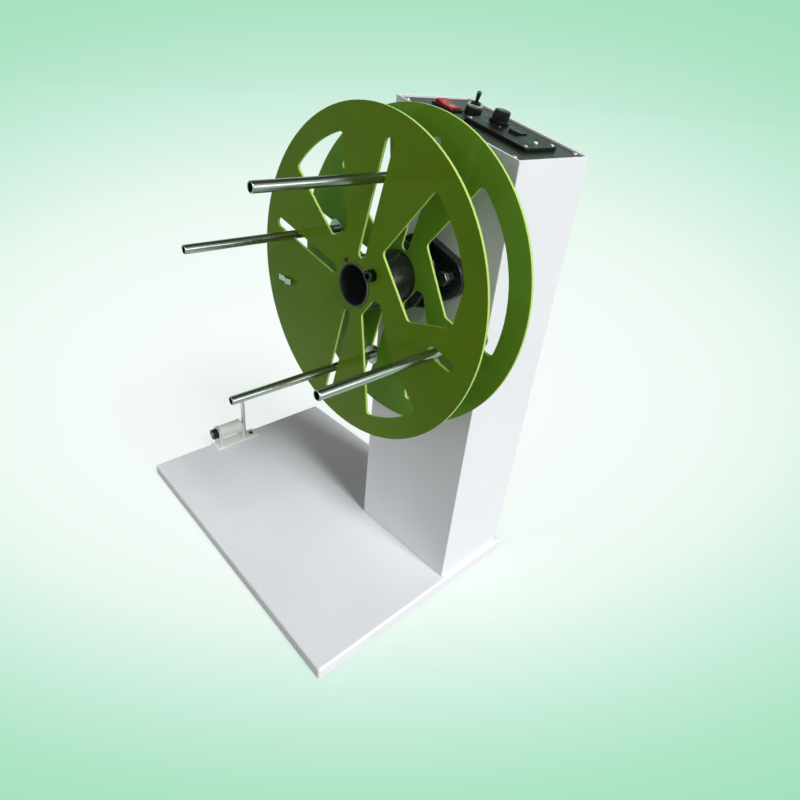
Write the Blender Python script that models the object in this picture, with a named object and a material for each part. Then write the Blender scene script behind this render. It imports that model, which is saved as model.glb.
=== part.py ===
"""Wire pay-off machine: a driven reel with two discs and four rods, on a column and a tray base.

Metres, +Z up. The origin is the centre of the footprint, on the floor. The reel's axis runs along X,
its open side faces -X, and the control panel slopes down towards -Y.
"""

import math

import bmesh
import bpy
from mathutils import Matrix, Vector

# Driving sizes
DISC_DIAMETER = 0.350
DISC_THICKNESS = 0.003
DISC_SPACING = 0.0602
REAR_DISC_STANDOFF = 0.0454
ROD_LENGTH = 0.2016
SHAFT_BELOW_RIM = 0.1317
SHAFT_PLACE_SHARE = 0.5949
COLUMN_DEPTH = 0.1276
COLUMN_WIDTH = 0.175
COLUMN_HEIGHT = 0.563
COLUMN_RISE = 0.049
BASE_LENGTH = 0.500
BASE_WIDTH = 0.3614
BASE_HEIGHT = 0.018
BASE_MARGIN_BACK = 0.0064
BASE_MARGIN_SIDE = 0.0065

# Clearances
GAP = 0.0003
RUNNING_FIT = 0.0005
SLIDE_FIT = 0.0006
OVERRUN = 0.010

# Base tray and feet
TRAY_WALL = 0.002
TRAY_EDGE_RADIUS = 0.004
TRAY_RETURN = 0.026
FOOT_HEIGHT = 0.004
FOOT_RADIUS = 0.011
FOOT_PAD_RADIUS = 0.009
FOOT_BORE_RADIUS = 0.003
FOOT_INSET = 0.014

# Column sheet metal
SHEET_WALL = 0.002
SHEET_BEND_RADIUS = 0.0015
COVER_THICKNESS = 0.0015
COVER_MARGIN = 0.0006
BACK_FLANGE = 0.012
BOTTOM_FLANGE = 0.020
WALL_HOLE_MARGIN = 0.004
VENT_LENGTH = 0.044
VENT_WIDTH = 0.004
VENT_PITCH = 0.010
VENT_ROWS = 6
VENT_BELOW_RIM = 0.079
VENT_OVER_INLET = 0.022

# Control panel
PANEL_RECESS = 0.002
PANEL_THICKNESS = 0.002
PANEL_LEDGE = 0.007

# Shaft, bearings and hub
SHAFT_RADIUS = 0.0125
SHAFT_TIP_RADIUS = 0.008
SHAFT_TAIL = 0.104
BEARING_RING_WALL = 0.0045
BEARING_BODY_RADIUS = 0.0436
BEARING_BOSS_RADIUS = 0.030
BEARING_EAR_RADIUS = 0.024
BEARING_BOLT_SPACING = 0.088
BEARING_FLANGE = 0.012
BEARING_LENGTH = 0.0265
BEARING_TURN = 5.0
BOLT_RADIUS = 0.005
BOLT_HEAD_RADIUS = 0.0085
BOLT_HEAD = 0.0064
NUT_THICKNESS = 0.008
HUB_FLANGE_RADIUS = 0.040
HUB_FLANGE_THICKNESS = 0.005
HUB_BOSS_RADIUS = 0.022
HUB_BOSS_LENGTH = 0.0075
HUB_TUBE_RADIUS = 0.0242
HUB_TUBE_WALL = 0.0025
HUB_TUBE_LIP = 0.0012
SHAFT_NUT_RADIUS = 0.0145
SHAFT_NUT_THICKNESS = 0.010
SLEEVE_RADIUS = 0.0303
SLEEVE_LENGTH = 0.0596

# Rods
ROD_RADIUS = 0.005
ROD_WALL = 0.0012
ROD_BORE_DEPTH = 0.060
ROD_STUD_RADIUS = 0.004
ROD_WASHER_RADIUS = 0.012
ROD_WASHER_THICKNESS = 0.0015
ROD_NUT_RADIUS = 0.0075
ROD_NUT_THICKNESS = 0.0065
ROD_SHOULDER = 0.0015

# Lock knob and wire clip
LOCK_PLACE_RADIUS = 0.0345
LOCK_ANGLE = 33.0
LOCK_HEAD_RADIUS = 0.0065
LOCK_HEAD = 0.008
LOCK_STEM_RADIUS = 0.003
CLIP_LENGTH = 0.032
CLIP_WIDTH = 0.007
CLIP_THICKNESS = 0.0012
CLIP_RISE = 0.004
CLIP_ANGLE = 193.0
CLIP_RADIUS_SHARE = 0.76

# Drive inside the column
DRIVE_PLATE_DISTANCE = 0.060
DRIVE_PLATE_THICKNESS = 0.003
DRIVE_PLATE_FLANGE = 0.020
DRIVE_PLATE_UP = 0.060
DRIVE_PLATE_DOWN = 0.215
MOTOR_DROP = 0.150
GEARBOX_SIZE = 0.056
GEARBOX_DEPTH = 0.050
GEARBOX_SHAFT_RADIUS = 0.006
MOTOR_RADIUS = 0.0245
MOTOR_LENGTH = 0.105
MOTOR_CAP = 0.012
MOTOR_CAP_RADIUS = 0.021
PULLEY_STANDOFF = 0.014
PULLEY_WIDTH = 0.014
PULLEY_FLANGE = 0.0015
PULLEY_FLANGE_RISE = 0.003
SHAFT_PULLEY_RADIUS = 0.032
MOTOR_PULLEY_RADIUS = 0.020
PULLEY_HUB_RADIUS = 0.013
PULLEY_HUB_LENGTH = 0.009
BELT_THICKNESS = 0.0025

# Switches and speed controller. Places are shares of the column's depth and of the slope's length
ROCKER_PLACE_SHARES = (0.392, 0.809)
TOGGLE_PLACE_SHARES = (0.584, 0.710)
CONTROLLER_PLACE_SHARES = (0.5157, 0.3605)
CONTROLLER_LENGTH_SHARE = 0.4843
KNOB_PLACE_SHARES = (0.580, 0.4953)
RUN_KEY_PLACE_SHARES = (0.5643, 0.3357)
LAMP_PLACE_SHARES = (0.533, 0.1816)
ROCKER_BEZEL_U = 0.024
ROCKER_BEZEL_V = 0.031
ROCKER_BEZEL_RISE = 0.002
ROCKER_BODY_DEPTH = 0.020
ROCKER_KEY_U = 0.018
ROCKER_KEY_V = 0.025
ROCKER_KEY_RISE = 0.0045
ROCKER_PIVOT_DEPTH = 0.004
ROCKER_ROOM = 0.002
TOGGLE_BASE_RADIUS = 0.010
TOGGLE_BASE_HEIGHT = 0.007
TOGGLE_BUSH_RADIUS = 0.0058
TOGGLE_BUSH_HEIGHT = 0.0125
TOGGLE_BORE_RADIUS = 0.0038
TOGGLE_BODY = 0.018
TOGGLE_BODY_DEPTH = 0.022
TOGGLE_NUT_RADIUS = 0.0092
TOGGLE_NUT_HEIGHT = 0.003
TOGGLE_LEVER_LENGTH = 0.017
TOGGLE_LEVER_TIP_RADIUS = 0.0028
TOGGLE_LEVER_ROOT_RADIUS = 0.0015
TOGGLE_BALL_RADIUS = 0.0030
CONTROLLER_WIDTH = 0.058
CONTROLLER_FACE_RISE = 0.004
CONTROLLER_CORNER = 0.003
CONTROLLER_BODY_WIDTH = 0.050
CONTROLLER_RIM = 0.005
CONTROLLER_BODY_DEPTH = 0.045
KNOB_RADIUS = 0.0095
KNOB_HEIGHT = 0.013
KNOB_SKIRT_RADIUS = 0.0115
KNOB_SKIRT_HEIGHT = 0.003
KNOB_SPINDLE_RADIUS = 0.003
KNOB_SPINDLE_DEPTH = 0.003
KNOB_POINTER_WIDTH = 0.0016
KNOB_POINTER_DEPTH = 0.001
RUN_KEY_WIDTH = 0.018
RUN_KEY_LENGTH = 0.012
RUN_KEY_RISE = 0.003
RUN_KEY_DEPTH = 0.003
LAMP_RADIUS = 0.0025
LAMP_RISE = 0.002
LAMP_DEPTH = 0.002

# Power inlet and terminal block
INLET_LENGTH = 0.048
INLET_WIDTH = 0.028
INLET_PLATE = 0.003
INLET_BODY_LENGTH = 0.034
INLET_BODY_WIDTH = 0.024
INLET_BODY_DEPTH = 0.022
INLET_SOCKET_LENGTH = 0.026
INLET_SOCKET_WIDTH = 0.017
INLET_SOCKET_DEPTH = 0.016
INLET_PIN_LENGTH = 0.012
INLET_PIN_WIDTH = 0.002
INLET_PIN_HEIGHT = 0.004
INLET_PIN_PITCH = 0.007
INLET_FROM_SIDE = 0.030
INLET_ABOVE_BASE = 0.086
TERMINAL_LENGTH = 0.060
TERMINAL_WIDTH = 0.018
TERMINAL_HEIGHT = 0.014
TERMINAL_ABOVE_BASE = 0.040
TERMINAL_WAYS = 6
TERMINAL_WAY_RADIUS = 0.0022
TERMINAL_WAY_DEPTH = 0.005

# Wire guide on the base
GUIDE_LENGTH = 0.090
GUIDE_WIDTH = 0.026
GUIDE_SHEET = 0.002
GUIDE_FROM_EDGE = 0.001
GUIDE_START_X = 0.110
GUIDE_EAR_FIRST = 0.008
GUIDE_EAR_SPAN = 0.048
GUIDE_EAR_HEIGHT = 0.040
GUIDE_AXLE_HEIGHT = 0.030
GUIDE_AXLE_RADIUS = 0.003
GUIDE_ROLLER_RADIUS = 0.0135
GUIDE_ROLLER_WAIST_RADIUS = 0.0125
GUIDE_ROLLER_SIDE_PLAY = 0.001
GUIDE_NUT_RADIUS = 0.010
GUIDE_NUT_THICKNESS = 0.010
GUIDE_HEAD_RADIUS = 0.0055
GUIDE_HEAD_THICKNESS = 0.002
GUIDE_POST_RADIUS = 0.004
GUIDE_POST_HEIGHT = 0.080
GUIDE_POST_AFTER_EAR = 0.009
GUIDE_HOLE_RADIUS = 0.0028
GUIDE_HOLE_FROM_END = 0.010

# Disc openings: corners as (angle in degrees, share of the disc's radius), seen from the open side
SLOT_ANGLES = (75.0, 165.0, 255.0)
SLOT_END_SHARES = (0.215, 0.84)
SHORT_SLOT_ANGLE = -15.0
SHORT_SLOT_END_SHARES = (0.705, 0.84)
RIM_SHARE = 0.86
UPPER_WINDOW_SHARES = ((132.0, 0.336), (105.6, 0.335), (101.0, RIM_SHARE), (135.3, RIM_SHARE))
FRONT_SIDE_WINDOW_SHARES = (
    (47.6, 0.338), (-9.4, 0.481), (-0.5, 0.79), (15.5, RIM_SHARE), (48.3, RIM_SHARE),
)
REAR_SIDE_WINDOW_SHARES = ((47.6, 0.338), (-17.6, 0.468), (-17.5, RIM_SHARE), (48.3, RIM_SHARE))
LOWER_WINDOW_SHARES = (
    (-13.0, 0.186), (-64.0, 0.186), (-76.7, RIM_SHARE), (-44.0, RIM_SHARE), (-43.6, 0.58), (-36.0, 0.383),
    (-11.0, 0.252),
)
CORNER_SHARE = 0.032
ROD_PLACES_SHARES = ((75.0, 0.665), (165.0, 0.660), (255.0, 0.665), (-15.0, 0.720))

# Places worked out from the driving sizes
disc_radius = DISC_DIAMETER / 2
floor_to_base = FOOT_HEIGHT
base_top = FOOT_HEIGHT + BASE_HEIGHT
half_x = (ROD_LENGTH + REAR_DISC_STANDOFF + COLUMN_DEPTH + BASE_MARGIN_BACK) / 2
face_x = half_x - BASE_MARGIN_BACK - COLUMN_DEPTH
back_x = face_x + COLUMN_DEPTH
shaft_from_side = COLUMN_WIDTH * SHAFT_PLACE_SHARE
axis_to_far_edge = BASE_LENGTH - BASE_MARGIN_SIDE - shaft_from_side
half_y = (disc_radius + axis_to_far_edge) / 2
axis_y = half_y - axis_to_far_edge
low_z = base_top + COLUMN_HEIGHT
high_z = low_z + COLUMN_RISE
axis_z = low_z - SHAFT_BELOW_RIM
near_y = axis_y - shaft_from_side
far_y = near_y + COLUMN_WIDTH
slope = math.atan2(COLUMN_RISE, COLUMN_WIDTH)
slope_length = math.hypot(COLUMN_RISE, COLUMN_WIDTH)
controller_length = slope_length * CONTROLLER_LENGTH_SHARE
controller_body_length = controller_length - CONTROLLER_RIM * 2
rear_disc_x = face_x - REAR_DISC_STANDOFF
front_disc_x = rear_disc_x - DISC_SPACING - DISC_THICKNESS
slot_half_width = ROD_RADIUS + SLIDE_FIT
drive_plate_x = face_x + SHEET_WALL + DRIVE_PLATE_DISTANCE
motor_z = axis_z - MOTOR_DROP
panel_top = -PANEL_RECESS
ledge_top = panel_top - PANEL_THICKNESS - GAP


# Planes in which outlines are drawn: columns are u, v and the direction of depth

def plane(origin, u, v):
    """Matrix of a drawing plane at origin, with its depth along u cross v."""
    u, v = Vector(u), Vector(v)
    matrix = Matrix((u, v, u.cross(v))).transposed().to_4x4()
    matrix.translation = Vector(origin)
    return matrix


reel_plane = plane((0, axis_y, axis_z), (0, -1, 0), (0, 0, 1))
side_plane = plane((0, 0, 0), (0, 1, 0), (0, 0, 1))
floor_plane = plane((0, 0, 0), (1, 0, 0), (0, 1, 0))
panel_plane = plane(
    (face_x, near_y, low_z), (1, 0, 0), (0, math.cos(slope), math.sin(slope))
)


# Outlines

STRAIGHT_ENOUGH = math.radians(80)

def arc(radius, start, end, centre=(0, 0), step=5.0):
    """Points of an arc from start to end degrees."""
    count = max(2, math.ceil(abs(end - start) / step))
    angles = [math.radians(start + (end - start) * i / count) for i in range(count + 1)]
    return [(centre[0] + radius * math.cos(a), centre[1] + radius * math.sin(a)) for a in angles]


def circle(radius, centre=(0, 0), step=9.0):
    return arc(radius, 0, 360, centre, step)[:-1]


def rectangle(lo, hi):
    return [(lo[0], lo[1]), (hi[0], lo[1]), (hi[0], hi[1]), (lo[0], hi[1])]


def centred_rectangle(centre, width, height):
    lo = (centre[0] - width / 2, centre[1] - height / 2)
    return rectangle(lo, (lo[0] + width, lo[1] + height))


def polar(angle, radius):
    return (radius * math.cos(math.radians(angle)), radius * math.sin(math.radians(angle)))


def rounded(points, radius, steps=4):
    """The outline with each corner rounded by an arc of the radius, or less on a short side."""
    result = []
    count = len(points)
    for i, point in enumerate(points):
        here = Vector(point)
        back = Vector(points[i - 1]) - here
        ahead = Vector(points[(i + 1) % count]) - here
        half = back.angle(ahead) / 2
        if half > STRAIGHT_ENOUGH:
            result.append(point)
            continue
        reach = min(radius / math.tan(half), back.length / 2, ahead.length / 2)
        bend = reach * math.tan(half)
        middle = here + (back.normalized() + ahead.normalized()).normalized() * (bend / math.sin(half))
        first = here + back.normalized() * reach - middle
        turn = first.angle_signed(here + ahead.normalized() * reach - middle)
        for k in range(steps + 1):
            result.append(tuple(middle + Matrix.Rotation(-turn * k / steps, 2) @ first))
    return result


def capsule(angle, start, end, half_width, step=30.0):
    """A slot with round ends, along a ray from the centre."""
    points = arc(half_width, 90, 270, (start, 0), step) + arc(half_width, -90, 90, (end, 0), step)
    turn = Matrix.Rotation(math.radians(angle), 2)
    return [tuple(turn @ Vector(point)) for point in points]


def window(corners):
    """A disc opening: straight sides, an arc along the rim side, and rounded corners."""
    points = []
    for i, (angle, share) in enumerate(corners):
        before, before_share = corners[i - 1]
        if share == RIM_SHARE and before_share == RIM_SHARE:
            points += arc(share * disc_radius, before, angle, step=4.0)[1:-1]
        points.append(polar(angle, share * disc_radius))
    return rounded(points, CORNER_SHARE * disc_radius)


# Solids

def set_up(obj, colour, roughness=0.5, metallic=0.0, smooth_below=35.0):
    """Gives the object its own material and its shading."""
    material = bpy.data.materials.new(obj.name)
    material.use_nodes = True
    shader = material.node_tree.nodes["Principled BSDF"]
    shader.inputs["Base Color"].default_value = (*colour, 1.0)
    shader.inputs["Roughness"].default_value = roughness
    shader.inputs["Metallic"].default_value = metallic
    obj.data.materials.clear()
    obj.data.materials.append(material)
    obj.data.shade_smooth()
    obj.data.set_sharp_from_angle(angle=math.radians(smooth_below))
    return obj


def make_object(name, bm):
    bmesh.ops.recalc_face_normals(bm, faces=bm.faces)
    mesh = bpy.data.meshes.new(name)
    bm.to_mesh(mesh)
    bm.free()
    obj = bpy.data.objects.new(name, mesh)
    bpy.context.scene.collection.objects.link(obj)
    return obj


def prism(name, loops, start, end, matrix):
    """A plate: the first loop is its outline and the others are holes, from start to end in depth."""
    bm = bmesh.new()
    edges = []
    for loop in loops:
        verts = [bm.verts.new((u, v, start)) for u, v in loop]
        edges += [bm.edges.new((verts[i - 1], verts[i])) for i in range(len(verts))]
    bmesh.ops.triangle_fill(bm, use_beauty=True, use_dissolve=False, edges=edges)
    grown = bmesh.ops.extrude_face_region(bm, geom=bm.faces[:])["geom"]
    moved = [item for item in grown if isinstance(item, bmesh.types.BMVert)]
    bmesh.ops.translate(bm, verts=moved, vec=(0, 0, end - start))
    bmesh.ops.transform(bm, matrix=matrix, verts=bm.verts)
    return make_object(name, bm)


def turned(name, profile, matrix, steps=40):
    """A turned solid: the profile's points are (depth, radius), round the plane's origin."""
    bm = bmesh.new()
    rings = []
    for depth, radius in profile:
        if radius == 0:
            rings.append([bm.verts.new((0, 0, depth))])
            continue
        angles = [math.tau * i / steps for i in range(steps)]
        rings.append([bm.verts.new((radius * math.cos(a), radius * math.sin(a), depth)) for a in angles])
    for i, ring in enumerate(rings):
        other = rings[i - 1]
        for k in range(steps):
            after = (k + 1) % steps
            corners = [ring[k % len(ring)], ring[after % len(ring)]]
            corners += [other[after % len(other)], other[k % len(other)]]
            corners = list(dict.fromkeys(corners))
            if len(corners) > 2:
                bm.faces.new(corners)
    bmesh.ops.transform(bm, matrix=matrix, verts=bm.verts)
    return make_object(name, bm)


def block(name, lo, hi, matrix=None, bevel=0.0, picked=None, segments=2):
    """A box between two corners. Its edges, or those that picked chooses, are rounded."""
    bm = bmesh.new()
    bmesh.ops.create_cube(bm, size=1)
    size = Vector(hi) - Vector(lo)
    bmesh.ops.scale(bm, vec=size, verts=bm.verts)
    bmesh.ops.translate(bm, vec=Vector(lo) + size / 2, verts=bm.verts)
    if bevel:
        edges = [edge for edge in bm.edges if picked is None or picked(edge)]
        bmesh.ops.bevel(bm, geom=edges, offset=bevel, segments=segments, profile=0.5, affect="EDGES")
    if matrix is not None:
        bmesh.ops.transform(bm, matrix=matrix, verts=bm.verts)
    return make_object(name, bm)


def combine(obj, others, operation):
    """Applies a Boolean with each of the others, which are then removed."""
    for other in others:
        modifier = obj.modifiers.new(operation.lower(), "BOOLEAN")
        modifier.operation = operation
        modifier.object = other
        graph = bpy.context.evaluated_depsgraph_get()
        result = bpy.data.meshes.new_from_object(obj.evaluated_get(graph))
        obj.modifiers.clear()
        obj.data = result
        bpy.data.objects.remove(other)
    return obj


def cut(obj, *others):
    return combine(obj, others, "DIFFERENCE")


def fuse(obj, *others):
    return combine(obj, others, "UNION")


def pivot(obj, point):
    """Puts the object's origin on its joint's axis."""
    obj.data.transform(Matrix.Translation(-Vector(point)))
    obj.location = Vector(point)
    return obj


def carry(parent, *objects):
    """Parents the objects to an empty, where they stand."""
    for obj in objects:
        obj.parent = parent
        obj.matrix_parent_inverse = Matrix.Translation(-parent.location)


def empty(name, location):
    obj = bpy.data.objects.new(name, None)
    obj.location = Vector(location)
    bpy.context.scene.collection.objects.link(obj)
    return obj


def hexagon(radius):
    return circle(radius, step=60.0)


def on_panel(shares):
    """A place across the panel and up its slope."""
    return shares[0] * COLUMN_DEPTH, shares[1] * slope_length


def at(matrix, u, v, depth=0.0):
    """The plane moved so that its origin is at (u, v, depth)."""
    return matrix @ Matrix.Translation((u, v, depth))


# Colours
WHITE_COAT = (0.80, 0.82, 0.84)
DARK_PANEL = (0.075, 0.085, 0.080)
GREEN_ACRYLIC = (0.075, 0.150, 0.012)
BLACK_PLASTIC = (0.012, 0.012, 0.013)
BLACK_IRON = (0.020, 0.021, 0.023)
STEEL = (0.56, 0.57, 0.58)
RED_PLASTIC = (0.42, 0.020, 0.018)
RUBBER = (0.015, 0.015, 0.015)
NYLON = (0.68, 0.69, 0.67)
COPPER_GREY = (0.30, 0.31, 0.32)


# Base

def column_bolt_places():
    inset = BOTTOM_FLANGE / 2
    back_inset = COVER_THICKNESS + inset
    return [(x, y) for x in (face_x + inset, back_x - back_inset) for y in (near_y + inset, far_y - inset)]


def make_base():
    lo_x, hi_x = half_x - BASE_WIDTH, half_x
    lo_y, hi_y = half_y - BASE_LENGTH, half_y
    tray = block(
        "base_tray", (lo_x, lo_y, FOOT_HEIGHT), (hi_x, hi_y, base_top), bevel=TRAY_EDGE_RADIUS,
        picked=lambda edge: sum(vert.co.z > FOOT_HEIGHT + BASE_HEIGHT / 2 for vert in edge.verts) > 0,
        segments=3,
    )
    hollow = block(
        "tray_hollow", (lo_x + TRAY_WALL, lo_y + TRAY_WALL, FOOT_HEIGHT + TRAY_WALL),
        (hi_x - TRAY_WALL, hi_y - TRAY_WALL, base_top - TRAY_WALL),
        bevel=TRAY_EDGE_RADIUS - TRAY_WALL,
        picked=lambda edge: min(vert.co.z for vert in edge.verts) > base_top - TRAY_WALL * 1.5,
    )
    opening = block(
        "tray_opening", (lo_x + TRAY_RETURN, lo_y + TRAY_RETURN, FOOT_HEIGHT - OVERRUN),
        (hi_x - TRAY_RETURN, hi_y - TRAY_RETURN, FOOT_HEIGHT + TRAY_WALL * 2),
    )
    cut(tray, hollow, opening)
    set_up(tray, WHITE_COAT, 0.42)
    feet = []
    places = [(x, y) for x in (lo_x + FOOT_INSET, hi_x - FOOT_INSET) for y in (lo_y + FOOT_INSET, hi_y - FOOT_INSET)]
    for number, (x, y) in enumerate(places, 1):
        top = FOOT_HEIGHT - GAP
        profile = [(0, FOOT_BORE_RADIUS), (0, FOOT_PAD_RADIUS), (top, FOOT_RADIUS), (top, FOOT_BORE_RADIUS)]
        foot = turned(f"rubber_foot_{number}", profile, at(floor_plane, x, y), 24)
        feet.append(set_up(foot, RUBBER, 0.85))
    return tray, feet


# Column

def side_outline(inset, bottom, below_slope):
    """The column's outline seen along X, moved in from its sides and down from its slope."""
    lo_y, hi_y = near_y + inset, far_y - inset
    rise = math.tan(slope)
    drop = below_slope / math.cos(slope)
    lo_top = low_z + inset * rise - drop
    hi_top = low_z + (COLUMN_WIDTH - inset) * rise - drop
    return [(lo_y, bottom), (hi_y, bottom), (hi_y, hi_top), (lo_y, lo_top)]


def make_column():
    floor = base_top + GAP
    shell_back = back_x - COVER_THICKNESS - GAP
    outside = side_outline(0, floor, 0)
    shell = prism("column_shell", [outside], face_x, shell_back, side_plane)
    bm = bmesh.new()
    bm.from_mesh(shell.data)
    corners = [
        edge for edge in bm.edges
        if all(vert.co.x < face_x + GAP for vert in edge.verts)
        and abs(edge.verts[0].co.y - edge.verts[1].co.y) < GAP
    ]
    bmesh.ops.bevel(bm, geom=corners, offset=SHEET_BEND_RADIUS, segments=2, profile=0.5, affect="EDGES")
    bm.to_mesh(shell.data)
    bm.free()
    under_ledge = SHEET_WALL - ledge_top
    inner_start, inner_end = face_x + SHEET_WALL, shell_back - SHEET_WALL
    hollow = prism(
        "column_hollow", [side_outline(SHEET_WALL, floor + SHEET_WALL, under_ledge)],
        inner_start, inner_end, side_plane,
    )
    pocket_top = -OVERRUN
    lo_v = SHEET_WALL / math.cos(slope)
    pocket = prism(
        "panel_pocket", [rectangle((SHEET_WALL, lo_v), (inner_end - face_x, slope_length - lo_v))],
        ledge_top, -pocket_top, panel_plane,
    )
    ledge_inset = SHEET_WALL + PANEL_LEDGE
    ledge_hole = prism(
        "ledge_hole",
        [rectangle((ledge_inset, lo_v + PANEL_LEDGE),
                   (inner_end - face_x - PANEL_LEDGE, slope_length - lo_v - PANEL_LEDGE))],
        -under_ledge - OVERRUN, -pocket_top, panel_plane,
    )
    back_hole = prism(
        "back_hole", [side_outline(BACK_FLANGE, floor + BACK_FLANGE, under_ledge + BACK_FLANGE)],
        inner_end - SHEET_WALL, shell_back + OVERRUN, side_plane,
    )
    floor_hole = block(
        "floor_hole", (face_x + BOTTOM_FLANGE, near_y + BOTTOM_FLANGE, floor - OVERRUN),
        (inner_end - BOTTOM_FLANGE, far_y - BOTTOM_FLANGE, floor + SHEET_WALL * 2),
    )
    wall_ends = (-face_x - SHEET_WALL * 2, -face_x + OVERRUN)
    holes = [prism("shaft_hole", [circle(SHAFT_RADIUS + WALL_HOLE_MARGIN)], *wall_ends, reel_plane)]
    for place in bearing_bolt_places():
        outline = circle(BOLT_RADIUS + RUNNING_FIT, place, 22.5)
        holes.append(prism("bolt_hole", [outline], *wall_ends, reel_plane))
    cut(shell, hollow, pocket, ledge_hole, back_hole, floor_hole, *holes)
    set_up(shell, WHITE_COAT, 0.42)

    loops = [side_outline(COVER_MARGIN, floor + COVER_MARGIN, COVER_MARGIN)]
    over_inlet = inlet_place()[1] + INLET_LENGTH / 2 + VENT_OVER_INLET
    for top in (low_z - VENT_BELOW_RIM, over_inlet + VENT_ROWS * VENT_PITCH):
        for row in range(VENT_ROWS):
            z = top - row * VENT_PITCH
            y = (near_y + far_y) / 2
            for side in (-1, 1):
                loops.append(vent_outline(y + side * (VENT_LENGTH / 2 + VENT_PITCH), z))
    y, z = inlet_place()
    loops.append(centred_rectangle((y, z), INLET_BODY_WIDTH + GAP * 2, INLET_BODY_LENGTH + GAP * 2))
    cover = prism("column_back_cover", loops, back_x - COVER_THICKNESS, back_x, side_plane)
    set_up(cover, WHITE_COAT, 0.42)
    return shell, cover


def vent_outline(y, z):
    half = (VENT_LENGTH - VENT_WIDTH) / 2
    ends = arc(VENT_WIDTH / 2, -90, 90, (y + half, z), 60.0)
    return ends + arc(VENT_WIDTH / 2, 90, 270, (y - half, z), 60.0)


def inlet_place():
    return near_y + INLET_FROM_SIDE, base_top + INLET_ABOVE_BASE


# Control panel

def make_panel():
    lo = (SHEET_WALL + GAP, SHEET_WALL / math.cos(slope) + GAP)
    hi = (COLUMN_DEPTH - COVER_THICKNESS - GAP * 2 - SHEET_WALL, slope_length - lo[1])
    holes = [
        centred_rectangle(on_panel(ROCKER_PLACE_SHARES), ROCKER_KEY_U + ROCKER_ROOM + GAP * 2,
                          ROCKER_KEY_V + ROCKER_ROOM + GAP * 2),
        circle(TOGGLE_BUSH_RADIUS + GAP, on_panel(TOGGLE_PLACE_SHARES), 15.0),
        centred_rectangle(on_panel(CONTROLLER_PLACE_SHARES), CONTROLLER_BODY_WIDTH + GAP * 2,
                          controller_body_length + GAP * 2),
    ]
    panel = prism("control_panel", [rectangle(lo, hi), *holes], panel_top - PANEL_THICKNESS, panel_top, panel_plane)
    set_up(panel, DARK_PANEL, 0.38, 0.7)

    pieces = [panel] + make_power_rocker() + make_toggle() + make_controller()
    return pieces


def make_power_rocker():
    base = panel_top + GAP
    here = at(panel_plane, *on_panel(ROCKER_PLACE_SHARES), base)
    inner_u, inner_v = ROCKER_KEY_U + ROCKER_ROOM / 2, ROCKER_KEY_V + ROCKER_ROOM / 2
    bezel_outline = rounded(centred_rectangle((0, 0), ROCKER_BEZEL_U, ROCKER_BEZEL_V), ROCKER_ROOM, 3)
    room = centred_rectangle((0, 0), inner_u, inner_v)
    bezel = prism("rocker_bezel", [bezel_outline, room], 0, ROCKER_BEZEL_RISE, here)
    body_outline = centred_rectangle((0, 0), ROCKER_KEY_U + ROCKER_ROOM, ROCKER_KEY_V + ROCKER_ROOM)
    body = prism("rocker_body", [body_outline], -ROCKER_BODY_DEPTH, ROCKER_BEZEL_RISE / 2, here)
    well_depth = ROCKER_PIVOT_DEPTH * 2
    well = prism("rocker_well", [room], -well_depth, OVERRUN, here)
    fuse(bezel, body)
    cut(bezel, well)
    set_up(bezel, BLACK_PLASTIC, 0.35)
    half = ROCKER_KEY_V / 2
    rise = ROCKER_BEZEL_RISE + ROCKER_KEY_RISE
    keel = -ROCKER_PIVOT_DEPTH
    # Seen across the panel: two faces that meet in a shallow valley, over a narrow keel
    profile = [
        (-half, ROCKER_BEZEL_RISE + GAP), (-half * 0.35, keel), (half * 0.35, keel), (half, ROCKER_BEZEL_RISE + GAP),
        (half * 0.92, rise), (0, rise * 0.62), (-half * 0.92, rise * 0.62),
    ]
    across = here @ plane((0, 0, 0), (0, 1, 0), (0, 0, 1))
    key = prism("power_rocker", [profile], -ROCKER_KEY_U / 2, ROCKER_KEY_U / 2, across)
    set_up(key, RED_PLASTIC, 0.25)
    pivot(key, here @ Vector((0, 0, 0)))
    return [bezel, key]


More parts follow.
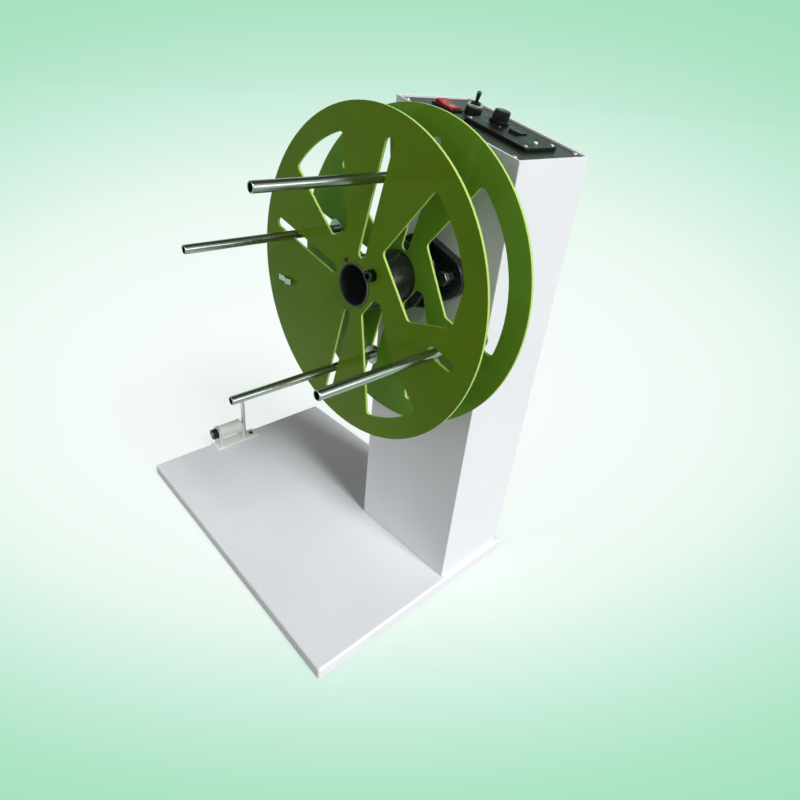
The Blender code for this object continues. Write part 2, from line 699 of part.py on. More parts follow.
def make_toggle():
    base = panel_top + GAP
    here = at(panel_plane, *on_panel(TOGGLE_PLACE_SHARES), base)
    bore_bottom = TOGGLE_BASE_HEIGHT / 2
    rim = TOGGLE_BUSH_HEIGHT
    under = -GAP * 2 - PANEL_THICKNESS
    profile = [
        (under, 0), (under, TOGGLE_BUSH_RADIUS), (0, TOGGLE_BUSH_RADIUS), (0, TOGGLE_BASE_RADIUS),
        (TOGGLE_BASE_HEIGHT, TOGGLE_BASE_RADIUS), (TOGGLE_BASE_HEIGHT, TOGGLE_BUSH_RADIUS),
        (rim, TOGGLE_BUSH_RADIUS), (rim, TOGGLE_BORE_RADIUS), (bore_bottom, TOGGLE_BORE_RADIUS), (bore_bottom, 0),
    ]
    body = turned("toggle_body", profile, here, 24)
    box_outline = centred_rectangle((0, 0), TOGGLE_BODY, TOGGLE_BODY)
    box = prism("toggle_box", [box_outline], under - TOGGLE_BODY_DEPTH, under + GAP, here)
    fuse(body, box)
    set_up(body, BLACK_PLASTIC, 0.4)
    nut_start = TOGGLE_BASE_HEIGHT + GAP
    nut = prism(
        "toggle_nut", [hexagon(TOGGLE_NUT_RADIUS), circle(TOGGLE_BUSH_RADIUS + GAP, step=15.0)],
        nut_start, nut_start + TOGGLE_NUT_HEIGHT, here,
    )
    set_up(nut, STEEL, 0.22, 1.0)
    # The lever swings about a point deep in the bush, and rests leaning to one side
    swing_centre = bore_bottom + GAP + TOGGLE_BALL_RADIUS
    top = swing_centre + TOGGLE_LEVER_LENGTH
    root, tip, ball = TOGGLE_LEVER_ROOT_RADIUS, TOGGLE_LEVER_TIP_RADIUS, TOGGLE_BALL_RADIUS
    ball_points = [(swing_centre + ball * math.cos(a), ball * math.sin(a))
                   for a in [math.pi * (1 - i / 5) for i in range(4)]]
    ball_points[0] = (ball_points[0][0], 0)
    profile = ball_points + [
        (swing_centre + ball, root), (top - tip, tip), (top - tip * 0.4, tip * 0.92), (top, tip * 0.4), (top, 0),
    ]
    lever = turned("toggle_lever", profile, here, 24)
    set_up(lever, STEEL, 0.18, 1.0)
    pivot(lever, here @ Vector((0, 0, swing_centre)))
    return [body, nut, lever]


def make_controller():
    base = panel_top + GAP
    here = at(panel_plane, *on_panel(CONTROLLER_PLACE_SHARES), base)
    face_outline = rounded(centred_rectangle((0, 0), CONTROLLER_WIDTH, controller_length), CONTROLLER_CORNER, 3)
    body = prism("speed_controller", [face_outline], 0, CONTROLLER_FACE_RISE, here)
    box_outline = centred_rectangle((0, 0), CONTROLLER_BODY_WIDTH, controller_body_length)
    box = prism("controller_box", [box_outline], -CONTROLLER_BODY_DEPTH, CONTROLLER_FACE_RISE / 2, here)
    fuse(body, box)
    face = panel_top + GAP + CONTROLLER_FACE_RISE
    knob_at = at(panel_plane, *on_panel(KNOB_PLACE_SHARES), face)
    key_at = at(panel_plane, *on_panel(RUN_KEY_PLACE_SHARES), face)
    lamp_at = at(panel_plane, *on_panel(LAMP_PLACE_SHARES), face)
    key_room = centred_rectangle((0, 0), RUN_KEY_WIDTH + RUNNING_FIT * 2, RUN_KEY_LENGTH + RUNNING_FIT * 2)
    cut(
        body,
        prism("knob_hole", [circle(KNOB_SPINDLE_RADIUS + GAP, step=22.5)],
              -KNOB_SPINDLE_DEPTH - GAP, OVERRUN, knob_at),
        prism("key_hole", [key_room], -RUN_KEY_DEPTH * 2, OVERRUN, key_at),
        prism("lamp_hole", [circle(LAMP_RADIUS + GAP, step=22.5)], -LAMP_DEPTH - GAP, OVERRUN, lamp_at),
    )
    set_up(body, BLACK_PLASTIC, 0.45)

    knob_profile = [
        (-KNOB_SPINDLE_DEPTH, 0), (-KNOB_SPINDLE_DEPTH, KNOB_SPINDLE_RADIUS), (GAP, KNOB_SPINDLE_RADIUS),
        (GAP, KNOB_SKIRT_RADIUS), (KNOB_SKIRT_HEIGHT, KNOB_SKIRT_RADIUS), (KNOB_SKIRT_HEIGHT, KNOB_RADIUS),
        (KNOB_HEIGHT - KNOB_POINTER_DEPTH, KNOB_RADIUS * 0.94), (KNOB_HEIGHT, KNOB_RADIUS * 0.86), (KNOB_HEIGHT, 0),
    ]
    knob = turned("speed_knob", knob_profile, knob_at, 32)
    half = KNOB_POINTER_WIDTH / 2
    groove = prism(
        "knob_groove", [rectangle((-half, KNOB_RADIUS * 0.2), (half, KNOB_RADIUS + OVERRUN))],
        KNOB_HEIGHT - KNOB_POINTER_DEPTH, KNOB_HEIGHT + OVERRUN, knob_at,
    )
    cut(knob, groove)
    set_up(knob, BLACK_PLASTIC, 0.4)
    pivot(knob, knob_at @ Vector((0, 0, 0)))

    half = RUN_KEY_WIDTH / 2
    deep, rise = -RUN_KEY_DEPTH, RUN_KEY_RISE
    profile = [(-half * 0.4, deep), (half * 0.4, deep), (half, 0), (half * 0.94, rise * 0.5),
               (0, rise * 0.5), (-half * 0.94, rise), (-half, 0)]
    along = key_at @ plane((0, 0, 0), (1, 0, 0), (0, 0, 1))
    key = prism("run_rocker", [profile], -RUN_KEY_LENGTH / 2, RUN_KEY_LENGTH / 2, along)
    set_up(key, BLACK_PLASTIC, 0.3)
    pivot(key, key_at @ Vector((0, 0, 0)))

    lamp_profile = [(-LAMP_DEPTH, 0), (-LAMP_DEPTH, LAMP_RADIUS), (LAMP_RISE * 0.4, LAMP_RADIUS),
                    (LAMP_RISE * 0.85, LAMP_RADIUS * 0.7), (LAMP_RISE, 0)]
    lamp = turned("run_lamp", lamp_profile, lamp_at, 20)
    set_up(lamp, (0.75, 0.72, 0.70), 0.2)
    return [body, knob, key, lamp]


# Bearings and shaft

def bearing_bolt_places():
    half = BEARING_BOLT_SPACING / 2
    return [polar(BEARING_TURN, half), polar(BEARING_TURN, -half)]


def make_bearing(prefix, wall_x, wall):
    """A two-bolt flange bearing on the -X side of a wall: its housing, its bolts and its turning ring."""
    ring_radius = SHAFT_RADIUS + GAP + BEARING_RING_WALL
    start = -wall_x + GAP
    outline = []
    half = BEARING_BOLT_SPACING / 2
    tilt = math.degrees(math.acos((BEARING_BODY_RADIUS - BEARING_EAR_RADIUS) / half))
    outline += arc(BEARING_BODY_RADIUS, tilt, 180 - tilt, step=9.0)
    outline += arc(BEARING_EAR_RADIUS, 180 - tilt, 180 + tilt, (-half, 0), 18.0)
    outline += arc(BEARING_BODY_RADIUS, 180 + tilt, 360 - tilt, step=9.0)
    outline += arc(BEARING_EAR_RADIUS, -tilt, tilt, (half, 0), 18.0)
    turn = Matrix.Rotation(math.radians(BEARING_TURN), 2)
    outline = [tuple(turn @ Vector(point)) for point in outline]
    holes = [circle(BOLT_RADIUS + RUNNING_FIT, place, 22.5) for place in bearing_bolt_places()]
    bore = ring_radius + RUNNING_FIT
    housing = prism(f"{prefix}_bearing_housing", [outline, circle(bore), *holes], start, start + BEARING_FLANGE, reel_plane)
    end = start + BEARING_LENGTH - BEARING_RING_WALL
    chamfer = BEARING_RING_WALL
    boss_profile = [
        (start + BEARING_FLANGE / 2, bore), (start + BEARING_FLANGE / 2, BEARING_BOSS_RADIUS),
        (end - chamfer, BEARING_BOSS_RADIUS), (end, BEARING_BOSS_RADIUS - chamfer), (end, bore),
    ]
    fuse(housing, turned("boss", boss_profile, reel_plane))
    set_up(housing, BLACK_IRON, 0.45, 0.3)
    ring_profile = [
        (start, SHAFT_RADIUS + GAP), (start, ring_radius),
        (start + BEARING_LENGTH, ring_radius), (start + BEARING_LENGTH, SHAFT_RADIUS + GAP),
    ]
    ring = turned(f"{prefix}_bearing_ring", ring_profile, reel_plane)
    set_up(ring, STEEL, 0.25, 1.0)
    bolts = []
    for number, place in enumerate(bearing_bolt_places(), 1):
        name = f"{prefix}_bearing_bolt_{number}"
        bolts.append(make_bolt(name, place, start + BEARING_FLANGE + GAP, -wall_x - wall - GAP))
    return [housing, *bolts], ring


def make_bolt(name, place, head_start, nut_start):
    """A hexagon bolt through a wall, with its nut behind, as one solid."""
    here = at(reel_plane, *place)
    stud_end = nut_start - NUT_THICKNESS - BOLT_RADIUS / 4
    bolt = prism(name, [circle(BOLT_RADIUS, step=22.5)], stud_end, head_start + BOLT_HEAD / 2, here)
    head = prism("head", [hexagon(BOLT_HEAD_RADIUS)], head_start, head_start + BOLT_HEAD, here)
    nut = prism("nut", [hexagon(BOLT_HEAD_RADIUS)], nut_start - NUT_THICKNESS, nut_start, here)
    fuse(bolt, head, nut)
    return set_up(bolt, STEEL, 0.3, 1.0)


def make_shaft():
    tip = -rear_disc_x + HUB_TUBE_WALL + SHAFT_NUT_THICKNESS * 1.6
    step = -rear_disc_x - DISC_THICKNESS
    tail = -face_x - SHAFT_TAIL
    chamfer = BEARING_RING_WALL / 4
    profile = [
        (tip, 0), (tip, SHAFT_TIP_RADIUS - chamfer), (tip - chamfer, SHAFT_TIP_RADIUS), (step, SHAFT_TIP_RADIUS),
        (step, SHAFT_RADIUS), (tail + chamfer, SHAFT_RADIUS), (tail, SHAFT_RADIUS - chamfer), (tail, 0),
    ]
    shaft = turned("main_shaft", profile, reel_plane)
    set_up(shaft, STEEL, 0.25, 1.0)
    start = -rear_disc_x + HUB_TUBE_WALL + GAP
    nut = prism(
        "shaft_nut", [hexagon(SHAFT_NUT_RADIUS), circle(SHAFT_TIP_RADIUS + GAP, step=15.0)],
        start, start + SHAFT_NUT_THICKNESS, reel_plane,
    )
    set_up(nut, BLACK_IRON, 0.4, 0.8)
    return shaft, nut


# Reel

def slot(angle, end_shares):
    start, end = (share * disc_radius for share in end_shares)
    return capsule(angle, start, end, slot_half_width)


def disc_loops(bore, side_window):
    loops = [circle(disc_radius, step=3.0), circle(bore)]
    loops += [slot(angle, SLOT_END_SHARES) for angle in SLOT_ANGLES]
    loops += [window(UPPER_WINDOW_SHARES), window(side_window), window(LOWER_WINDOW_SHARES)]
    return loops


def make_reel():
    rear_face = -rear_disc_x
    rear_back = rear_face - DISC_THICKNESS
    tube_bore = HUB_TUBE_RADIUS + GAP
    rear_loops = disc_loops(tube_bore, REAR_SIDE_WINDOW_SHARES)
    rear = prism("rear_disc", rear_loops, rear_back, rear_face, reel_plane)
    set_up(rear, GREEN_ACRYLIC, 0.12)

    flange_front = rear_back - GAP
    flange_back = flange_front - HUB_FLANGE_THICKNESS
    boss_back = flange_back - HUB_BOSS_LENGTH
    bore = SHAFT_RADIUS + GAP
    flange = turned(
        "rear_hub_flange",
        [(flange_front, bore), (flange_front, HUB_FLANGE_RADIUS), (flange_back, HUB_FLANGE_RADIUS),
         (flange_back, HUB_BOSS_RADIUS), (boss_back, HUB_BOSS_RADIUS), (boss_back, bore)],
        reel_plane, 48,
    )
    set_up(flange, BLACK_IRON, 0.4, 0.6)

    # The tube is closed at its rear end, where the shaft's nut clamps it against the shoulder
    floor = rear_back + GAP
    mouth = -front_disc_x + HUB_TUBE_LIP
    tube = turned(
        "hub_tube",
        [(floor, SHAFT_TIP_RADIUS + GAP), (floor, HUB_TUBE_RADIUS), (mouth, HUB_TUBE_RADIUS),
         (mouth, HUB_TUBE_RADIUS - HUB_TUBE_WALL), (rear_face + HUB_TUBE_WALL, HUB_TUBE_RADIUS - HUB_TUBE_WALL),
         (rear_face + HUB_TUBE_WALL, SHAFT_TIP_RADIUS + GAP)],
        reel_plane, 48,
    )
    set_up(tube, STEEL, 0.2, 1.0)
    return [rear, flange, tube]


def make_sliding_flange():
    face = -front_disc_x
    back = face - DISC_THICKNESS
    bore = HUB_TUBE_RADIUS + SLIDE_FIT
    lock_hole = circle(LOCK_STEM_RADIUS + GAP, polar(LOCK_ANGLE, LOCK_PLACE_RADIUS), 22.5)
    front_loops = disc_loops(bore, FRONT_SIDE_WINDOW_SHARES)
    front_loops += [slot(SHORT_SLOT_ANGLE, SHORT_SLOT_END_SHARES), lock_hole]
    disc = prism("front_disc", front_loops, back, face, reel_plane)
    set_up(disc, GREEN_ACRYLIC, 0.12)
    start = back - GAP
    end = start - SLEEVE_LENGTH
    chamfer = SLIDE_FIT
    sleeve = turned(
        "front_sleeve",
        [(start, bore), (start, SLEEVE_RADIUS - chamfer), (start - chamfer, SLEEVE_RADIUS),
         (end + chamfer, SLEEVE_RADIUS), (end, SLEEVE_RADIUS - chamfer), (end, bore)],
        reel_plane, 48,
    )
    set_up(sleeve, BLACK_PLASTIC, 0.15)
    here = at(reel_plane, *polar(LOCK_ANGLE, LOCK_PLACE_RADIUS), face)
    head_start = GAP
    rim = LOCK_STEM_RADIUS / 4
    knob = turned(
        "lock_knob",
        [(-DISC_THICKNESS, 0), (-DISC_THICKNESS, LOCK_STEM_RADIUS), (head_start, LOCK_STEM_RADIUS),
         (head_start, LOCK_HEAD_RADIUS), (LOCK_HEAD - rim, LOCK_HEAD_RADIUS), (LOCK_HEAD, LOCK_HEAD_RADIUS - rim),
         (LOCK_HEAD, LOCK_STEM_RADIUS), (LOCK_HEAD * 0.6, LOCK_STEM_RADIUS), (LOCK_HEAD * 0.6, 0)],
        here, 24,
    )
    set_up(knob, BLACK_PLASTIC, 0.3)
    pivot(knob, here @ Vector((0, 0, 0)))
    return [disc, sleeve, make_wire_clip()], knob


def make_wire_clip():
    """A spring clip on the open side that holds the wire's end: flat at one end, raised at the other."""
    radius = CLIP_RADIUS_SHARE * disc_radius
    here = at(reel_plane, *polar(CLIP_ANGLE, radius), -front_disc_x + GAP)
    half, sheet, rise = CLIP_LENGTH / 2, CLIP_THICKNESS, CLIP_RISE
    profile = [
        (-half, 0), (-half * 0.1, 0), (half * 0.25, rise), (half * 0.8, rise * 0.35), (half, rise),
        (half, rise + sheet), (half * 0.8, rise * 0.35 + sheet), (half * 0.25, rise + sheet),
        (-half * 0.2, sheet), (-half, sheet),
    ]
    across = here @ plane((0, 0, 0), (1, 0, 0), (0, 0, 1))
    clip = prism("wire_clip", [profile], -CLIP_WIDTH / 2, CLIP_WIDTH / 2, across)
    return set_up(clip, STEEL, 0.2, 1.0)


def make_rods():
    pieces = []
    face = -rear_disc_x + GAP
    for number, (angle, share) in enumerate(ROD_PLACES_SHARES, 1):
        here = at(reel_plane, *polar(angle, share * disc_radius))
        tip = -rear_disc_x + ROD_LENGTH
        stud_end = -rear_disc_x - DISC_THICKNESS - ROD_WASHER_THICKNESS - ROD_NUT_THICKNESS - ROD_SHOULDER
        bore = ROD_RADIUS - ROD_WALL
        collar = face + ROD_WASHER_THICKNESS
        rod = turned(
            f"rod_{number}",
            [(stud_end, 0), (stud_end, ROD_STUD_RADIUS), (face, ROD_STUD_RADIUS), (face, ROD_WASHER_RADIUS),
             (collar, ROD_WASHER_RADIUS), (collar, ROD_RADIUS), (tip, ROD_RADIUS), (tip, bore),
             (tip - ROD_BORE_DEPTH, bore), (tip - ROD_BORE_DEPTH, 0)],
            here, 24,
        )
        pieces.append(set_up(rod, STEEL, 0.16, 1.0))
        washer = -rear_disc_x - DISC_THICKNESS - GAP
        nut_end = washer - ROD_WASHER_THICKNESS - ROD_NUT_THICKNESS
        hole = circle(ROD_STUD_RADIUS + GAP, step=22.5)
        nut = prism(f"rod_nut_{number}", [circle(ROD_WASHER_RADIUS, step=18.0), hole],
                    washer - ROD_WASHER_THICKNESS, washer, here)
        fuse(nut, prism("hexagon", [hexagon(ROD_NUT_RADIUS), hole], nut_end, washer - ROD_WASHER_THICKNESS / 2, here))
        pieces.append(set_up(nut, STEEL, 0.3, 1.0))
    return pieces


# Drive

def make_drive():
    side_gap = SHEET_WALL + GAP
    lo_y, hi_y = near_y + side_gap, far_y - side_gap
    lo_z, hi_z = axis_z - DRIVE_PLATE_DOWN, axis_z + DRIVE_PLATE_UP
    start, end = drive_plate_x, drive_plate_x + DRIVE_PLATE_FLANGE
    plate = block("drive_plate", (start, lo_y, lo_z), (end, hi_y, hi_z))
    hollow = block(
        "plate_hollow", (start + DRIVE_PLATE_THICKNESS, lo_y + DRIVE_PLATE_THICKNESS, lo_z - OVERRUN),
        (end + OVERRUN, hi_y - DRIVE_PLATE_THICKNESS, hi_z + OVERRUN),
    )
    ends = (-start - DRIVE_PLATE_THICKNESS - OVERRUN / 2, -start + OVERRUN)
    shaft_hole = prism("shaft_hole", [circle(SHAFT_RADIUS + WALL_HOLE_MARGIN)], *ends, reel_plane)
    motor_hole = prism(
        "motor_hole", [circle(GEARBOX_SHAFT_RADIUS + WALL_HOLE_MARGIN, (0, -MOTOR_DROP))], *ends, reel_plane,
    )
    bolt_holes = [
        prism("bolt_hole", [circle(BOLT_RADIUS + RUNNING_FIT, place, 22.5)], *ends, reel_plane)
        for place in bearing_bolt_places()
    ]
    cut(plate, hollow, shaft_hole, motor_hole, *bolt_holes)
    set_up(plate, COPPER_GREY, 0.5, 0.8)

    half = GEARBOX_SIZE / 2
    box_back = drive_plate_x - GAP
    gearbox = block(
        "gearbox", (box_back - GEARBOX_DEPTH, axis_y - half, motor_z - half), (box_back, axis_y + half, motor_z + half),
        bevel=MOTOR_CAP / 4,
    )
    cut(gearbox, prism("output_hole", [circle(GEARBOX_SHAFT_RADIUS + RUNNING_FIT, (0, -MOTOR_DROP), 15.0)],
                       -box_back - OVERRUN, -box_back + GEARBOX_DEPTH / 2, reel_plane))
    set_up(gearbox, COPPER_GREY, 0.45, 0.9)

    top = motor_z - half - GAP
    bottom = top - MOTOR_LENGTH
    motor_x = box_back - GEARBOX_DEPTH / 2
    profile = [
        (bottom, 0), (bottom, MOTOR_CAP_RADIUS), (bottom + MOTOR_CAP, MOTOR_CAP_RADIUS),
        (bottom + MOTOR_CAP, MOTOR_RADIUS), (top, MOTOR_RADIUS), (top, 0),
    ]
    motor = turned("drive_motor", profile, at(floor_plane, motor_x, axis_y), 32)
    set_up(motor, BLACK_IRON, 0.4, 0.5)

    pulley_start = -drive_plate_x - DRIVE_PLATE_THICKNESS - PULLEY_STANDOFF
    low = at(reel_plane, 0, -MOTOR_DROP)
    shaft_end = pulley_start - PULLEY_WIDTH - PULLEY_HUB_LENGTH
    output_start = -box_back + GEARBOX_DEPTH / 2 - GAP
    output = turned(
        "gearbox_shaft",
        [(output_start, 0), (output_start, GEARBOX_SHAFT_RADIUS), (shaft_end, GEARBOX_SHAFT_RADIUS), (shaft_end, 0)],
        low, 24,
    )
    set_up(output, STEEL, 0.25, 1.0)
    pivot(output, low @ Vector((0, 0, pulley_start)))
    small = make_pulley("motor_pulley", low, pulley_start, MOTOR_PULLEY_RADIUS, GEARBOX_SHAFT_RADIUS)
    large = make_pulley("shaft_pulley", reel_plane, pulley_start, SHAFT_PULLEY_RADIUS, SHAFT_RADIUS)
    belt = make_belt(pulley_start)
    return [plate, gearbox, motor, belt], [output, small], large


def make_pulley(name, matrix, start, radius, shaft_radius):
    """A flanged belt pulley with a hub behind it."""
    end = start - PULLEY_WIDTH
    hub_end = end - PULLEY_HUB_LENGTH + GAP * 4
    rim = radius + PULLEY_FLANGE_RISE
    bore = shaft_radius + GAP
    hub = min(PULLEY_HUB_RADIUS + shaft_radius / 2, radius - PULLEY_FLANGE_RISE / 2)
    profile = [
        (start, bore), (start, rim), (start - PULLEY_FLANGE, rim), (start - PULLEY_FLANGE, radius),
        (end + PULLEY_FLANGE, radius), (end + PULLEY_FLANGE, rim), (end, rim), (end, hub), (hub_end, hub), (hub_end, bore),
    ]
    pulley = turned(name, profile, matrix, 32)
    set_up(pulley, COPPER_GREY, 0.35, 0.9)
    return pivot(pulley, matrix @ Vector((0, 0, start)))


def belt_outline(growth):
    """The loop round both pulleys, which stand one above the other."""
    top, bottom = SHAFT_PULLEY_RADIUS + growth, MOTOR_PULLEY_RADIUS + growth
    lean = math.degrees(math.asin((top - bottom) / MOTOR_DROP))
    upper = arc(top, -lean, 180 + lean, step=9.0)
    lower = arc(bottom, 180 + lean, 360 - lean, (0, -MOTOR_DROP), 9.0)
    return upper + lower


def make_belt(start):
    side = PULLEY_FLANGE + GAP
    belt = prism(
        "drive_belt", [belt_outline(GAP + BELT_THICKNESS), belt_outline(GAP)],
        start - PULLEY_WIDTH + side, start - side, reel_plane,
    )
    return set_up(belt, RUBBER, 0.7)


# Electrical fittings

def make_inlet():
    y, z = inlet_place()
    here = plane((back_x + GAP, y, z), (0, 1, 0), (0, 0, 1))
    plate_outline = rounded(centred_rectangle((0, 0), INLET_WIDTH, INLET_LENGTH), INLET_PLATE, 3)
    inlet = prism("power_inlet", [plate_outline], 0, INLET_PLATE, here)
    body_outline = centred_rectangle((0, 0), INLET_BODY_WIDTH, INLET_BODY_LENGTH)
    body = prism("inlet_body", [body_outline], -INLET_BODY_DEPTH, INLET_PLATE / 2, here)
    fuse(inlet, body)
    socket_outline = centred_rectangle((0, 0), INLET_SOCKET_WIDTH, INLET_SOCKET_LENGTH)
    cut(inlet, prism("socket", [socket_outline], INLET_PLATE - INLET_SOCKET_DEPTH, OVERRUN, here))
    root = INLET_PLATE - INLET_SOCKET_DEPTH - GAP * 2
    places = ((0, -INLET_PIN_PITCH), (0, INLET_PIN_PITCH), (INLET_PIN_PITCH / 2, 0))
    pins = [
        prism("pin", [centred_rectangle(place, INLET_PIN_HEIGHT, INLET_PIN_WIDTH)], root, root + INLET_PIN_LENGTH, here)
        for place in places
    ]
    fuse(inlet, *pins)
    return set_up(inlet, BLACK_PLASTIC, 0.45)


def make_terminal_block():
    start = face_x + SHEET_WALL + GAP
    z = base_top + TERMINAL_ABOVE_BASE
    y = axis_y - TERMINAL_LENGTH / 2
    strip = block("terminal_block", (start, y, z), (start + TERMINAL_HEIGHT, y + TERMINAL_LENGTH, z + TERMINAL_WIDTH))
    pitch = TERMINAL_LENGTH / TERMINAL_WAYS
    holes = []
    for way in range(TERMINAL_WAYS):
        place = plane((start + TERMINAL_HEIGHT, y + pitch * (way + 1 / 2), z + TERMINAL_WIDTH / 2), (0, 1, 0), (0, 0, 1))
        holes.append(prism("way", [circle(TERMINAL_WAY_RADIUS, step=30.0)], -TERMINAL_WAY_DEPTH, OVERRUN, place))
    cut(strip, *holes)
    return set_up(strip, (0.75, 0.74, 0.70), 0.4)


# Wire guide

def make_guide():
    left = half_x - BASE_WIDTH + GUIDE_START_X
    right = left + GUIDE_LENGTH
    far = half_y - GUIDE_FROM_EDGE
    near = far - GUIDE_WIDTH
    middle = (near + far) / 2
    floor = base_top + GAP
    axle_z = base_top + GUIDE_AXLE_HEIGHT
    ear_1 = left + GUIDE_EAR_FIRST
    ear_2 = ear_1 + GUIDE_EAR_SPAN
    post_x = ear_2 + GUIDE_POST_AFTER_EAR
    strip_top = floor + GUIDE_SHEET
    holes = [circle(GUIDE_POST_RADIUS / 2 + GAP, (post_x, middle), 22.5),
             circle(GUIDE_HOLE_RADIUS, (right - GUIDE_HOLE_FROM_END, middle), 22.5)]
    bracket = prism("guide_bracket", [rectangle((left, near), (right, far)), *holes], floor, strip_top, floor_plane)
    half = GUIDE_WIDTH / 2
    ear_rise = GUIDE_EAR_HEIGHT - GUIDE_SHEET
    ears = []
    for x in (ear_1, ear_2):
        ear_plane = plane((x, middle, strip_top), (0, 1, 0), (0, 0, 1))
        outline = rounded(rectangle((-half, -GUIDE_SHEET / 2), (half, ear_rise)), half / 2)
        axle_hole = circle(GUIDE_AXLE_RADIUS + GAP, (0, axle_z - strip_top), 22.5)
        square = rectangle((-half, -GUIDE_SHEET / 2), (half, ear_rise / 3))
        ear = prism("ear", [outline, axle_hole], 0, GUIDE_SHEET, ear_plane)
        ears += [ear, prism("ear_foot", [square], 0, GUIDE_SHEET, ear_plane)]
    fuse(bracket, *ears)
    set_up(bracket, WHITE_COAT, 0.4)

    roller_start = ear_1 + GUIDE_SHEET + GUIDE_ROLLER_SIDE_PLAY
    roller_end = ear_2 - GUIDE_ROLLER_SIDE_PLAY
    along = plane((0, middle, axle_z), (0, 1, 0), (0, 0, 1))
    rim = GUIDE_ROLLER_RADIUS - GUIDE_ROLLER_WAIST_RADIUS
    bore = GUIDE_AXLE_RADIUS + RUNNING_FIT
    roller = turned(
        "guide_roller",
        [(roller_start, bore), (roller_start, GUIDE_ROLLER_RADIUS), (roller_start + rim * 2, GUIDE_ROLLER_RADIUS),
         (roller_start + rim * 4, GUIDE_ROLLER_WAIST_RADIUS), (roller_end - rim * 4, GUIDE_ROLLER_WAIST_RADIUS),
         (roller_end - rim * 2, GUIDE_ROLLER_RADIUS), (roller_end, GUIDE_ROLLER_RADIUS), (roller_end, bore)],
        along, 32,
    )
    set_up(roller, NYLON, 0.45)
    pivot(roller, along @ Vector((0, 0, roller_start)))

    axle_start = ear_1 - GUIDE_NUT_THICKNESS - GUIDE_SHEET / 2
    head_start = ear_2 + GUIDE_SHEET + GAP
    head_end = head_start + GUIDE_HEAD_THICKNESS
    axle = turned(
        "guide_axle",
        [(axle_start, 0), (axle_start, GUIDE_AXLE_RADIUS), (head_start, GUIDE_AXLE_RADIUS),
         (head_start, GUIDE_HEAD_RADIUS), (head_end, GUIDE_HEAD_RADIUS), (head_end, 0)],
        along, 24,
    )
    set_up(axle, STEEL, 0.25, 1.0)
    nut = turned(
        "guide_nut",
        [(axle_start + GUIDE_SHEET / 2, GUIDE_AXLE_RADIUS + GAP), (axle_start + GUIDE_SHEET / 2, GUIDE_NUT_RADIUS),
         (ear_1 - GAP, GUIDE_NUT_RADIUS), (ear_1 - GAP, GUIDE_AXLE_RADIUS + GAP)],
        along, 12,
    )
    set_up(nut, BLACK_PLASTIC, 0.4)

    here = at(floor_plane, post_x, middle)
    stem = GUIDE_POST_RADIUS / 2
    tip = floor + GUIDE_POST_HEIGHT
    post = turned(
        "guide_post",
        [(floor, 0), (floor, stem), (strip_top + GAP, stem), (strip_top + GAP, GUIDE_POST_RADIUS),
         (tip - stem / 2, GUIDE_POST_RADIUS), (tip, GUIDE_POST_RADIUS - stem / 2), (tip, 0)],
        here, 24,
    )
    set_up(post, STEEL, 0.18, 1.0)
    return [bracket, axle, nut, post], roller


# Assembly

def clear_scene():
    for obj in list(bpy.data.objects):
        bpy.data.objects.remove(obj)


def build():
    clear_scene()
    machine = empty("machine", (0, 0, 0))
    reel_axis = empty("reel_axis", (rear_disc_x, axis_y, axis_z))
    slide = empty("flange_slide", (front_disc_x, axis_y, axis_z))
    motor_axis = empty("motor_axis", (drive_plate_x, axis_y, motor_z))

    tray, feet = make_base()
    carry(machine, tray, *feet, *make_column(), *make_panel(), make_inlet(), make_terminal_block())
    outer_fixed, outer_ring = make_bearing("outer", face_x, SHEET_WALL)
    inner_fixed, inner_ring = make_bearing("inner", drive_plate_x, DRIVE_PLATE_THICKNESS)
    drive_fixed, drive_turning, shaft_pulley = make_drive()
    guide_fixed, roller = make_guide()
    carry(machine, *outer_fixed, *inner_fixed, *drive_fixed, *guide_fixed, roller)
    carry(motor_axis, *drive_turning)
    shaft, shaft_nut = make_shaft()
    carry(reel_axis, outer_ring, inner_ring, shaft_pulley, shaft, shaft_nut, *make_reel(), *make_rods())
    sliding, lock_knob = make_sliding_flange()
    carry(slide, *sliding, lock_knob)


build()
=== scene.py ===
"""Wire pay-off machine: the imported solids, finished and dressed for a photograph.

Metres, +Z up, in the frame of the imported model. The reel's open side faces -X, the control panel slopes down
towards -Y, and the wire guide stands on the base's +Y edge.
"""

from __future__ import annotations

import logging
import math
from collections.abc import Callable, Sequence
from dataclasses import dataclass
from enum import Enum
from typing import ClassVar

import bmesh
import bpy
from mathutils import Matrix, Vector


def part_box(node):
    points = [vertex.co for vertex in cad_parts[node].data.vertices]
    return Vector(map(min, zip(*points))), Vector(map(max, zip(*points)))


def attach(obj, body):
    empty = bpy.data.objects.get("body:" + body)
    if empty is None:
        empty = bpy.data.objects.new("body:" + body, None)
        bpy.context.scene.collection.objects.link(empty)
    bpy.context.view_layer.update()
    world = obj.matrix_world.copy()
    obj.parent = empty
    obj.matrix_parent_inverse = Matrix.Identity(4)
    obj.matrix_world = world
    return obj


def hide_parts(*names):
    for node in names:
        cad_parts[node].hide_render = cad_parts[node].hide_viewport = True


Colour = tuple[float, float, float]
Point = tuple[float, float, float]
Pair = tuple[float, float]
Outline = tuple[Pair, ...]
Socket = bpy.types.NodeSocket
Inputs = dict[str | int, object]
Test = Callable[[Vector, Vector], bool]

